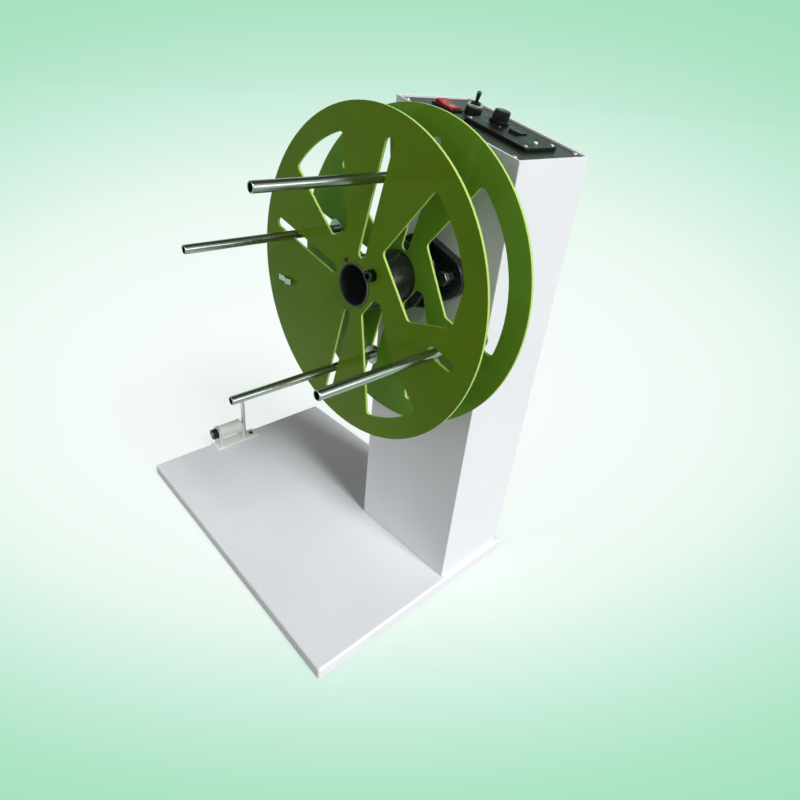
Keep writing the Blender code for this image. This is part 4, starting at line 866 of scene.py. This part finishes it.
    def dress(self, finish: Finish, body: Body, *nodes: str) -> Workpiece:
        """Shades the piece with its flat faces flat, gives it its finish and lets it ride on its body.

        Args:
            finish: its finish, which has the record's slot.
            body: what it rides on.
            nodes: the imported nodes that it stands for.

        Returns:
            The workpiece.
        """
        self.take()
        bpy.ops.object.shade_smooth_by_angle(angle=self.SMOOTH_ANGLE)
        self.modifier("WEIGHTED_NORMAL", keep_sharp=True)
        self.obj.data.materials.clear()
        self.obj.data.materials.append(finish.material())
        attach(self.obj, body.value)
        if nodes:
            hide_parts(*nodes)
        faces = len(self.obj.data.polygons)
        log.info("%s: %s, on %s, %d faces", self.obj.name, finish.name, body.value, faces)
        return self


@dataclass(frozen=True)
class SoftCopy:
    """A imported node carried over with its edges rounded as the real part's are."""

    node: str
    width: float
    finish: Finish
    body: Body = Body.STAND
    segments: int = 2
    angle: float = 28.0

    def build(self) -> Workpiece:
        """Makes the rounded copy, which stands for its node."""
        piece = Workpiece.from_node(self.node + "_finished", self.node)
        piece.soften(self.width, self.segments, self.angle)
        return piece.dress(self.finish, self.body, self.node)


@dataclass(frozen=True)
class Assembly:
    """A sub-assembly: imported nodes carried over, and then pieces of its own."""

    copies: tuple[SoftCopy, ...] = ()

    def build(self) -> None:
        """Makes the rounded copies and then the assembly's own pieces."""
        for copy in self.copies:
            copy.build()
        self.build_own()

    def build_own(self) -> None:
        """Makes the pieces that aren't rounded copies, if there are any."""


def axes(x: Point, y: Point, z: Point, origin: Point) -> Matrix:
    """Builds the matrix of a set of axes.

    Args:
        x: the direction of the piece's X.
        y: the direction of its Y.
        z: the direction of its Z.
        origin: where its origin goes.

    Returns:
        The matrix.
    """
    matrix = Matrix((x, y, z)).transposed().to_4x4()
    matrix.translation = Vector(origin)
    return matrix


@dataclass(frozen=True)
class Layout:
    """The places that pieces are measured from, as in the solids."""

    axis_y: float = -0.107196
    axis_z: float = 0.4533
    face_x: float = 0.0565
    back_x: float = 0.1841
    near_y: float = -0.211304
    far_y: float = -0.036304
    low_z: float = 0.585
    rise: float = 0.049
    width: float = 0.175
    front_face_x: float = -0.0521
    rear_face_x: float = 0.0111

    def on_panel(self, u: float, v: float, n: float) -> Matrix:
        """Gives a place on the slope: u across it, v up it and n out of it.

        Args:
            u: distance from its -X edge.
            v: distance up the slope.
            n: height above the sheet's rim.

        Returns:
            The matrix.
        """
        angle = math.atan2(self.rise, self.width)
        c, s = math.cos(angle), math.sin(angle)
        origin = (self.face_x + u, self.near_y + v * c - n * s, self.low_z + v * s + n * c)
        return axes((1, 0, 0), (0, c, s), (0, -s, c), origin)

    def on_reel(self, angle: float, radius: float, x: float) -> Matrix:
        """Gives a place on the reel, at degrees from its -Y side upwards, with Z towards its open side."""
        u, v = radius * math.cos(math.radians(angle)), radius * math.sin(math.radians(angle))
        return axes((0, -1, 0), (0, 0, 1), (-1, 0, 0), (x, self.axis_y - u, self.axis_z + v))

    def on_back(self, y: float, z: float, x: float) -> Matrix:
        """Gives a place that faces +X."""
        return axes((0, 1, 0), (0, 0, 1), (1, 0, 0), (x, y, z))


LAYOUT = Layout()


@dataclass(frozen=True)
class Screw:
    """A screw's head with the recess that turns it."""

    radius: float
    height: float
    recess: Recess
    finish: Finish = ZINC
    sides: int = 28
    depth_share: float = 0.55
    cross_rounding_share: float = 0.55
    hex_rounding_share: float = 0.12
    socket_share: float = 0.52
    arm_shares: Pair = (1.25, 0.2)
    overrun: float = 0.001
    turn_step: float = 37.0
    top_share: float = 0.99

    def pattern(self, name: str) -> Workpiece:
        """Models one head, standing on Z = 0.

        Args:
            name: the pattern's name.

        Returns:
            The head.
        """
        head = Workpiece.rod(name, self.radius, self.height, self.sides)
        rounding = self.hex_rounding_share if self.recess is Recess.HEX else self.cross_rounding_share
        rim = self.height * self.top_share
        head.pick_edges(lambda a, b: min(a.z, b.z) > rim).round_over(rounding * self.height, 4)
        depth = self.height * self.depth_share
        deep = depth + self.overrun
        if self.recess is Recess.HEX:
            socket = Workpiece.rod("socket", self.radius * self.socket_share, deep, 6, self.height - depth)
            return head.cut(socket)
        arm, wide = (self.radius * share for share in self.arm_shares)
        middle = (0, 0, self.height - depth / 2 + self.overrun / 2)
        arms = ((arm, wide, deep), (wide, arm, deep))
        return head.cut(*(Workpiece.slab("slot_tool", size, middle) for size in arms))

    def fit(self, name: str, places: Sequence[Matrix], body: Body = Body.STAND) -> None:
        """Puts a copy at each place, each turned another way.

        Args:
            name: the copies' name, before a number.
            places: where they go.
            body: what they ride on.
        """
        pattern = self.pattern(name + "_pattern")
        for number, place in enumerate(places, 1):
            turned = place @ Matrix.Rotation(math.radians(self.turn_step * number), 4, "Z")
            pattern.copy(f"{name}_{number}", turned).dress(self.finish, body)
        pattern.discard()


# The machine's sub-assemblies


@dataclass(frozen=True)
class BaseTray(Assembly):
    """The folded tray, its rubber feet and the screws that hold them."""

    copies: tuple[SoftCopy, ...] = (SoftCopy("base_tray", 0.0005, WHITE_SHEET),)
    foot: Outline = (
        (0.0, 0.0032), (0.0, 0.0082), (0.0007, 0.0090), (0.0030, 0.0107), (0.0037, 0.0104), (0.0037, 0.0032),
    )
    screw: Screw = Screw(0.0029, 0.0014, Recess.CROSS)
    screw_seat: float = 0.0036

    def build_own(self) -> None:
        """Makes the feet and their screws."""
        places = []
        for number in range(1, 5):
            node = f"rubber_foot_{number}"
            low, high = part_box(node)
            middle = (low + high) / 2
            foot = Workpiece.lathe(node + "_finished", self.foot, 40)
            foot.move(Matrix.Translation((middle.x, middle.y, 0))).dress(BLACK_RUBBER, Body.STAND, node)
            seat = Matrix.Translation((middle.x, middle.y, self.screw_seat))
            places.append(seat @ Matrix.Rotation(math.pi, 4, "X"))
        self.screw.fit("foot_screw", places)


@dataclass(frozen=True)
class Column(Assembly):
    """The sheet column, its back cover and the cover's screws."""

    copies: tuple[SoftCopy, ...] = (
        SoftCopy("column_shell", 0.00035, WHITE_SHEET),
        SoftCopy("column_back_cover", 0.0003, COVER_SHEET),
    )
    screw: Screw = Screw(0.0031, 0.0018, Recess.CROSS, BLACK_OXIDE)
    screw_inset: float = 0.006
    screw_sink: float = 0.0001
    screw_heights: tuple[float, ...] = (0.040, 0.270, 0.500)

    def build_own(self) -> None:
        """Makes the cover's screws."""
        columns = (LAYOUT.near_y + self.screw_inset, LAYOUT.far_y - self.screw_inset)
        face = LAYOUT.back_x - self.screw_sink
        places = [LAYOUT.on_back(y, z, face) for y in columns for z in self.screw_heights]
        self.screw.fit("cover_screw", places)


@dataclass(frozen=True)
class ControlPanel(Assembly):
    """The dark panel with its screws, the red rocker and the toggle switch."""

    copies: tuple[SoftCopy, ...] = (
        SoftCopy("control_panel", 0.00025, PANEL_METAL),
        SoftCopy("rocker_bezel", 0.0004, BLACK_MOULDING),
        SoftCopy("power_rocker", 0.0007, RED_KEY, Body.POWER_SWITCH, 4, 20.0),
        SoftCopy("toggle_body", 0.0004, BLACK_MOULDING),
        SoftCopy("toggle_nut", 0.00035, NICKEL),
        SoftCopy("toggle_lever", 0.0003, BLACK_NICKEL, Body.TOGGLE_SWITCH),
    )
    top: float = -0.002
    size: Pair = (0.1276, 0.18173)
    screw: Screw = Screw(0.0027, 0.0016, Recess.CROSS, NICKEL)
    screw_inset: Pair = (0.0078, 0.0122)
    right_margin: float = 0.002
    rocker: Pair = (0.05002, 0.14702)
    key_low: float = 0.00235
    key_rise: float = 0.00125
    key_slope: float = 0.2116
    mark_reach: float = 0.0058
    mark_ring: Pair = (0.0019, 0.0025)
    mark_bar: Pair = (0.0007, 0.0050)
    print_height: float = 0.00006

    def build_own(self) -> None:
        """Makes the panel's screws and the rocker's two printed marks."""
        (u, v), (width, length) = self.screw_inset, self.size
        corners = [(a, b) for a in (u, width - u - self.right_margin) for b in (v, length - v)]
        self.screw.fit("panel_screw", [LAYOUT.on_panel(*corner, self.top) for corner in corners])
        (inner, outer), thick = self.mark_ring, self.print_height
        section = ((0.0, inner), (0.0, outer), (thick, outer), (thick, inner))
        ring = Workpiece.lathe("rocker_mark_off", section, 40)
        bar = Workpiece.slab("rocker_mark_on", (*self.mark_bar, thick), (0, 0, thick / 2))
        bar.move(Matrix.Rotation(self.key_slope, 4, "X"))
        u, v = self.rocker
        for mark, side, level in ((ring, -1, self.key_low), (bar, 1, self.key_low + self.key_rise)):
            place = LAYOUT.on_panel(u, v + side * self.mark_reach, level)
            mark.move(place).dress(WHITE_PRINT, Body.POWER_SWITCH)


@dataclass(frozen=True)
class SpeedController(Assembly):
    """The speed controller's face with its knob, scale, small rocker and lamp."""

    copies: tuple[SoftCopy, ...] = (
        SoftCopy("speed_controller", 0.0006, BLACK_MOULDING),
        SoftCopy("run_rocker", 0.0003, DARK_KNOB, Body.RUN_SWITCH),
        SoftCopy("run_lamp", 0.0002, LAMP_GLASS),
    )
    face: float = 0.0023
    centre: Pair = (0.0658, 0.06552)
    size: Pair = (0.058, 0.0880)
    screw: Screw = Screw(0.0021, 0.0012, Recess.CROSS, NICKEL)
    screw_inset: float = 0.005
    knob: Pair = (0.07401, 0.09001)
    knob_outline: Outline = (
        (-0.003, 0.0), (-0.003, 0.003), (0.0004, 0.003), (0.0004, 0.0111), (0.0009, 0.0115), (0.0026, 0.0115),
        (0.0031, 0.011), (0.0036, 0.0096), (0.0116, 0.0091), (0.0126, 0.0086), (0.013, 0.0078), (0.013, 0.0),
    )
    flutes: int = 24
    flute_radius: float = 0.0007
    flute_reach: float = 0.0097
    flute_length: float = 0.0080
    flute_start: float = 0.0042
    pointer_slot: tuple[Point, Point] = ((0.0012, 0.0090, 0.0008), (0, 0.0050, 0.0130))
    pointer: tuple[Point, Point] = ((0.00105, 0.0068, 0.00045), (0, 0.0046, 0.01285))
    pointer_rounding: float = 0.0001
    first_mark: float = 225.0
    mark_step: float = 27.0
    marks: int = 11
    mark_lengths: Pair = (0.0026, 0.0016)
    mark_width: float = 0.00045
    mark_height: float = 0.00008
    mark_rounding: float = 0.00002
    long_marks_every: int = 5
    scale_radius: float = 0.0142
    number_gap: float = 0.0030
    number_size: Pair = (0.0025, 0.00006)

    def build_own(self) -> None:
        """Makes the knob, the scale and the screws."""
        self.build_knob()
        self.build_scale()
        self.build_numbers()
        (u, v), (width, length) = self.centre, self.size
        half_u, half_v = width / 2 - self.screw_inset, length / 2 - self.screw_inset
        corners = [(u + a * half_u, v + b * half_v) for a in (-1, 1) for b in (-1, 1)]
        self.screw.fit("controller_screw", [LAYOUT.on_panel(*corner, self.face) for corner in corners])

    def build_knob(self) -> None:
        """Makes the fluted knob with its white pointer."""
        knob = Workpiece.lathe("speed_knob_finished", self.knob_outline, 72)
        flute = Workpiece.rod("flute", self.flute_radius, self.flute_length, 10, self.flute_start)
        out = Matrix.Translation((self.flute_reach, 0, 0))
        for step in range(self.flutes):
            knob.cut(flute.copy("flute_tool", Matrix.Rotation(math.tau * step / self.flutes, 4, "Z") @ out))
        flute.discard()
        knob.cut(Workpiece.slab("pointer_slot", *self.pointer_slot))
        place = LAYOUT.on_panel(*self.knob, self.face)
        knob.move(place).dress(DARK_KNOB, Body.SPEED_DIAL, "speed_knob")
        pointer = Workpiece.slab("speed_knob_pointer", *self.pointer)
        pointer.soften(self.pointer_rounding).move(place).dress(WHITE_PRINT, Body.SPEED_DIAL)

    def mark_angle(self, step: int) -> float:
        """Gives the direction of a mark on the scale, in radians."""
        return math.radians(self.first_mark - self.mark_step * step)

    def build_scale(self) -> None:
        """Makes the printed marks round the knob, as one piece."""
        ticks = []
        for step in range(self.marks):
            length = self.mark_lengths[0 if step % self.long_marks_every == 0 else 1]
            size = (length, self.mark_width, self.mark_height)
            tick = Workpiece.slab("tick", size, (self.scale_radius, 0, self.mark_height / 2))
            turn = Matrix.Rotation(self.mark_angle(step), 4, "Z")
            ticks.append(tick.soften(self.mark_rounding, 1).move(turn))
        scale = ticks[0].join(*ticks[1:])
        scale.obj.name = scale.obj.data.name = "speed_scale"
        scale.move(LAYOUT.on_panel(*self.knob, self.face)).dress(WHITE_PRINT, Body.STAND)

    def build_numbers(self) -> None:
        """Makes every other mark's number."""
        reach = self.scale_radius + self.number_gap
        for step in range(0, self.marks, 2):
            angle = self.mark_angle(step)
            out = Matrix.Translation((reach * math.cos(angle), reach * math.sin(angle), 0))
            number = Workpiece.text(f"speed_number_{step}", str(step), *self.number_size)
            number.move(LAYOUT.on_panel(*self.knob, self.face) @ out).dress(WHITE_PRINT, Body.STAND)


@dataclass(frozen=True)
class Bearings(Assembly):
    """The two flange bearings with their bolts and rings."""

    sides: tuple[str, ...] = ("outer", "inner")
    bolts: int = 2

    def build_own(self) -> None:
        """Makes both bearings."""
        for side in self.sides:
            name = side + "_bearing_"
            SoftCopy(name + "housing", 0.0012, BLACK_CASTING, segments=3, angle=38.0).build()
            SoftCopy(name + "ring", 0.0003, SHAFT_STEEL, Body.REEL).build()
            for number in range(1, self.bolts + 1):
                SoftCopy(f"{name}bolt_{number}", 0.0004, ZINC).build()


@dataclass(frozen=True)
class Reel(Assembly):
    """The driven reel: shaft, hub, both discs, the lock screw and the wire clip."""

    copies: tuple[SoftCopy, ...] = (
        SoftCopy("rear_disc", 0.00025, REAR_ACRYLIC, Body.REEL, angle=40.0),
        SoftCopy("front_disc", 0.00025, FRONT_ACRYLIC, Body.SLIDING_FLANGE, angle=40.0),
        SoftCopy("rear_hub_flange", 0.0005, BLACK_CASTING, Body.REEL),
        SoftCopy("hub_tube", 0.0003, TUBE_STEEL, Body.REEL),
        SoftCopy("front_sleeve", 0.0003, GLOSSY_SLEEVE, Body.SLIDING_FLANGE),
        SoftCopy("main_shaft", 0.0003, SHAFT_STEEL, Body.REEL),
        SoftCopy("shaft_nut", 0.0005, BLACK_OXIDE, Body.REEL),
        SoftCopy("wire_clip", 0.0002, SPRING_STEEL, Body.SLIDING_FLANGE),
    )
    lock: Pair = (33.0, 0.0345)
    lock_outline: Outline = (
        (-0.003, 0.0), (-0.003, 0.0026), (-0.0026, 0.003), (0.0003, 0.003), (0.0003, 0.0061),
        (0.0006, 0.0065), (0.0072, 0.0065), (0.0079, 0.0058), (0.0080, 0.0),
    )
    socket_radius: float = 0.0033
    socket_depth: float = 0.0035
    overrun: float = 0.0015
    small_screw: Pair = (120.0, 0.028)
    screw: Screw = Screw(0.0022, 0.0018, Recess.HEX, BLACK_OXIDE)

    def build_own(self) -> None:
        """Makes the socket-headed lock screw and the small screw beside the bore."""
        head = Workpiece.lathe("lock_knob_finished", self.lock_outline)
        top = self.lock_outline[-1][0]
        deep = self.socket_depth + self.overrun
        head.cut(Workpiece.rod("socket", self.socket_radius, deep, 6, top - self.socket_depth))
        lock, small = (LAYOUT.on_reel(*place, LAYOUT.front_face_x) for place in (self.lock, self.small_screw))
        head.move(lock).dress(BLACK_CHROME, Body.LOCK_SCREW, "lock_knob")
        self.screw.fit("hub_screw", [small], Body.SLIDING_FLANGE)


@dataclass(frozen=True)
class Rods(Assembly):
    """The four stainless rods with their studs, washers and nuts."""

    places: tuple[Pair, ...] = ((75.0, 0.116375), (165.0, 0.1155), (255.0, 0.116375), (-15.0, 0.126))
    length: float = 0.2016
    root: Outline = (
        (-0.0125, 0.0), (-0.0125, 0.0034), (-0.0119, 0.004), (0.0003, 0.004), (0.0003, 0.0118),
        (0.0005, 0.012), (0.0016, 0.012), (0.0018, 0.0118), (0.0018, 0.005),
    )
    mouth: Outline = (
        (0.0006, 0.005), (0.0002, 0.0048), (0.0, 0.0045), (0.0, 0.0040), (0.0003, 0.0038), (0.060, 0.0038),
        (0.060, 0.0),
    )

    def build_own(self) -> None:
        """Makes the rods, which are open at the mouth, and their nuts."""
        mouth = tuple((self.length - back, radius) for back, radius in self.mouth)
        pattern = Workpiece.lathe("rod_pattern", self.root + mouth)
        for number, place in enumerate(self.places, 1):
            rod = pattern.copy(f"rod_{number}_finished", LAYOUT.on_reel(*place, LAYOUT.rear_face_x))
            rod.dress(ROD_STEEL, Body.REEL, f"rod_{number}")
            SoftCopy(f"rod_nut_{number}", 0.0003, ZINC, Body.REEL).build()
        pattern.discard()


@dataclass(frozen=True)
class Drive(Assembly):
    """The geared motor, the pulleys, the belt and the plate inside the column."""

    copies: tuple[SoftCopy, ...] = (
        SoftCopy("drive_plate", 0.0006, ZINC),
        SoftCopy("gearbox", 0.0008, GREY_CASTING),
        SoftCopy("drive_motor", 0.0008, MOTOR_ENAMEL),
        SoftCopy("gearbox_shaft", 0.0003, SHAFT_STEEL, Body.DRIVE_OUTPUT),
        SoftCopy("motor_pulley", 0.0003, GREY_CASTING, Body.DRIVE_OUTPUT),
        SoftCopy("shaft_pulley", 0.0003, GREY_CASTING, Body.REEL),
        SoftCopy("drive_belt", 0.0004, BLACK_RUBBER),
    )


@dataclass(frozen=True)
class Electrics(Assembly):
    """The mains inlet at the back and the terminal block inside."""

    copies: tuple[SoftCopy, ...] = (
        SoftCopy("power_inlet", 0.0004, BLACK_MOULDING),
        SoftCopy("terminal_block", 0.0003, CREAM_MOULDING),
    )
    inlet: Pair = (-0.181304, 0.108)
    screw: Screw = Screw(0.0021, 0.0014, Recess.CROSS, NICKEL)
    screw_reach: float = 0.0205
    flange: float = 0.0032

    def build_own(self) -> None:
        """Makes the inlet's two screws, one below it and one above."""
        y, z = self.inlet
        face = LAYOUT.back_x + self.flange
        places = [LAYOUT.on_back(y, z + side * self.screw_reach, face) for side in (-1, 1)]
        self.screw.fit("inlet_screw", places)


@dataclass(frozen=True)
class WireGuide(Assembly):
    """The bracket on the base's edge with its roller, axle, nut and post."""

    copies: tuple[SoftCopy, ...] = (
        SoftCopy("guide_bracket", 0.0004, GUIDE_WHITE),
        SoftCopy("guide_axle", 0.0003, SHAFT_STEEL),
        SoftCopy("guide_nut", 0.0005, BLACK_MOULDING),
        SoftCopy("guide_post", 0.0003, POST_STEEL),
        SoftCopy("guide_roller", 0.0004, NYLON_WHITE, Body.ROLLER),
    )
    screw: Screw = Screw(0.0042, 0.0022, Recess.CROSS, BLACK_OXIDE)
    screw_place: Point = (0.0191, 0.268198, 0.0243)

    def build_own(self) -> None:
        """Makes the bracket's fixing screw."""
        self.screw.fit("guide_screw", [Matrix.Translation(self.screw_place)])


# Studio


@dataclass(frozen=True)
class Eye:
    """Where the camera stands and which way it looks."""

    place: Point = (-0.4116, -0.5240, 0.6371)
    right: Point = (0.76809006, -0.63842083, 0.04956314)
    up: Point = (0.28268612, 0.40751523, 0.86834319)
    back: Point = (-0.57456611, -0.65295496, 0.49348111)
    lens: float = 23.868
    shift: Pair = (0.058839, -0.01343)
    sensor: float = 36.0
    nearest: float = 0.01


EYE = Eye()


@dataclass(frozen=True)
class Vignette:
    """A pale pool of light on a green backdrop, laid out once for the floor and the sky alike.

    Its colour depends on how far a direction from the camera's place lies from the pool's middle. There the
    whole picture's width counts as 0.8, a little more with the squeeze, and the same distance counts double
    up and down.
    """

    stops: tuple[tuple[float, Colour], ...] = (
        (0.20, (246, 252, 249)), (0.36, (239, 250, 244)), (0.45, (231, 247, 238)), (0.54, (215, 241, 228)),
        (0.625, (199, 236, 218)), (0.71, (185, 231, 206)), (0.80, (172, 227, 196)), (0.92, (161, 224, 190)),
        (1.16, (160, 223, 188)), (1.76, (198, 229, 212)),
    )
    beyond: Colour = (198, 229, 212)
    span: float = 1.8
    across: float = 0.5304
    squeeze: float = 1.05
    middle: Pair = (0.0029, 0.0220)
    nearest: float = 0.02
    fade: Pair = (0.05, 0.30)

    def colour(self, board: NodeBoard, direction: Socket) -> Socket:
        """Gives the backdrop's colour in a direction.

        Args:
            board: the floor's material or the sky.
            direction: a vector from the camera's place, of any length.

        Returns:
            The colour.
        """
        ahead = board.along(direction, tuple(-c for c in EYE.back))
        depth = board.maths("MAXIMUM", ahead, self.nearest)
        side = board.along(direction, tuple(c * self.across * self.squeeze for c in EYE.right))
        rise = board.along(direction, tuple(c * self.across * 2 for c in EYE.up))
        side = board.maths("ADD", board.maths("DIVIDE", side, depth), self.middle[0])
        rise = board.maths("ADD", board.maths("DIVIDE", rise, depth), self.middle[1])
        squares = board.maths("ADD", board.maths("MULTIPLY", side, side), board.maths("MULTIPLY", rise, rise))
        reach = board.maths("DIVIDE", board.maths("SQRT", squares), self.span)
        green = board.ramp(reach, [(place / self.span, linear(colour)) for place, colour in self.stops])
        return board.blend(board.between(ahead, 1.0, 0.0, *self.fade), green, linear(self.beyond))


@dataclass(frozen=True)
class Studio:
    """The pale floor, the backdrop, the soft light and the camera."""

    vignette: Vignette = Vignette()
    lit_share: float = 0.20
    floor_grey: Colour = (0.28, 0.27, 0.262)
    sky: float = 0.115
    sky_tint: Colour = (1.0, 0.95, 0.88)
    ceiling: Colour = (66, 68, 68)
    ceiling_heights: Pair = (0.58, 0.70)
    horizon_heights: Pair = (0.16, 0.34)
    floor_size: float = 80.0
    full_light: float = 0.80
    lamp_place: Point = (0.0, -2.0, 2.0)
    suns: tuple[tuple[str, float, float, Point], ...] = (
        ("main_sun", 3.15, 20.0, (-0.01, -0.745, 0.665)), ("side_sun", 0.76, 70.0, (-1.0, -0.2, 0.25)),
        ("window", 0.36, 24.0, (0.45, -0.88, 0.15)),
    )

    def build(self) -> None:
        """Makes the stage, the light and the camera."""
        self.build_floor()
        self.build_sky()
        for sun in self.suns:
            self.build_sun(*sun)
        self.build_camera()

    def build_floor(self) -> None:
        """Makes the floor, pale where it is seen and grey where it only lights the object."""
        Workpiece.clear_hands()
        bpy.ops.mesh.primitive_plane_add(size=self.floor_size, location=(0, 0, 0))
        floor = bpy.context.object
        floor.name = "studio_floor"
        board = NodeBoard("studio_floor")
        place = board.add("TexCoord").outputs["Object"]
        away = board.add("VectorMath", {0: place, 1: EYE.place}, operation="SUBTRACT")
        unit = board.add("VectorMath", {0: away.outputs[0]}, operation="NORMALIZE")
        tone = self.vignette.colour(board, unit.outputs[0])
        diffuse = board.add("BsdfDiffuse", {0: board.blend(self.lit_share, (0.0, 0.0, 0.0), tone)})
        glow = board.add("Emission", {0: tone, 1: 1.0 - self.lit_share * self.full_light})
        pale = board.add("AddShader", {0: diffuse.outputs[0], 1: glow.outputs[0]})
        grey = board.add("BsdfDiffuse", {0: (*self.floor_grey, 1.0)})
        board.finish(board.where_seen(pale.outputs[0], grey.outputs[0]))
        floor.data.materials.append(board.material)

    def build_sky(self) -> None:
        """Makes the sky: the backdrop where it is seen, a dark ceiling high up, and grey light elsewhere."""
        sky = SkyBoard("studio_sky")
        direction = sky.add("TexCoord").outputs["Generated"]
        height = sky.along(direction, (0.0, 0.0, 1.0))
        tone = self.vignette.colour(sky, direction)
        layers = ((self.horizon_heights, self.vignette.beyond), (self.ceiling_heights, self.ceiling))
        for heights, colour in layers:
            tone = sky.blend(sky.between(height, 0.0, 1.0, *heights), tone, linear(colour))
        back = sky.add("Background", {0: tone})
        light = sky.add("Background", {0: (*self.sky_tint, 1.0), 1: self.sky})
        sky.finish(sky.where_seen(back.outputs[0], light.outputs[0]))

    def build_sun(self, name: str, strength: float, spread: float, source: Point) -> None:
        """Makes a soft lamp.

        Args:
            name: its name.
            strength: its strength.
            spread: how wide it looks, in degrees.
            source: the direction that it shines from.
        """
        Workpiece.clear_hands()
        bpy.ops.object.light_add(type="SUN", location=self.lamp_place)
        sun = bpy.context.object
        sun.name = name
        sun.data.energy = strength
        sun.data.angle = math.radians(spread)
        sun.rotation_euler = Vector(source).to_track_quat("Z", "Y").to_euler()

    def build_camera(self) -> None:
        """Puts the camera where the photograph was taken from."""
        Workpiece.clear_hands()
        bpy.ops.object.camera_add()
        camera = bpy.context.object
        camera.name = "view_camera"
        camera.matrix_world = axes(EYE.right, EYE.up, EYE.back, EYE.place)
        camera.data.sensor_width = EYE.sensor
        camera.data.lens = EYE.lens
        camera.data.shift_x, camera.data.shift_y = EYE.shift
        camera.data.clip_start = EYE.nearest
        bpy.context.scene.camera = camera


def main() -> None:
    """Builds the machine in order, then the studio."""
    logging.basicConfig(level=logging.INFO, format="%(message)s")
    kinds = (BaseTray, Column, ControlPanel, SpeedController, Bearings, Reel, Rods, Drive, Electrics,
             WireGuide)
    for kind in kinds:
        log.info("%s", kind.__name__)
        kind().build()
    Studio().build()
    bpy.context.scene.view_settings.view_transform = "Standard"
    Workpiece.clear_hands()


if __name__ == "__main__":
    main()
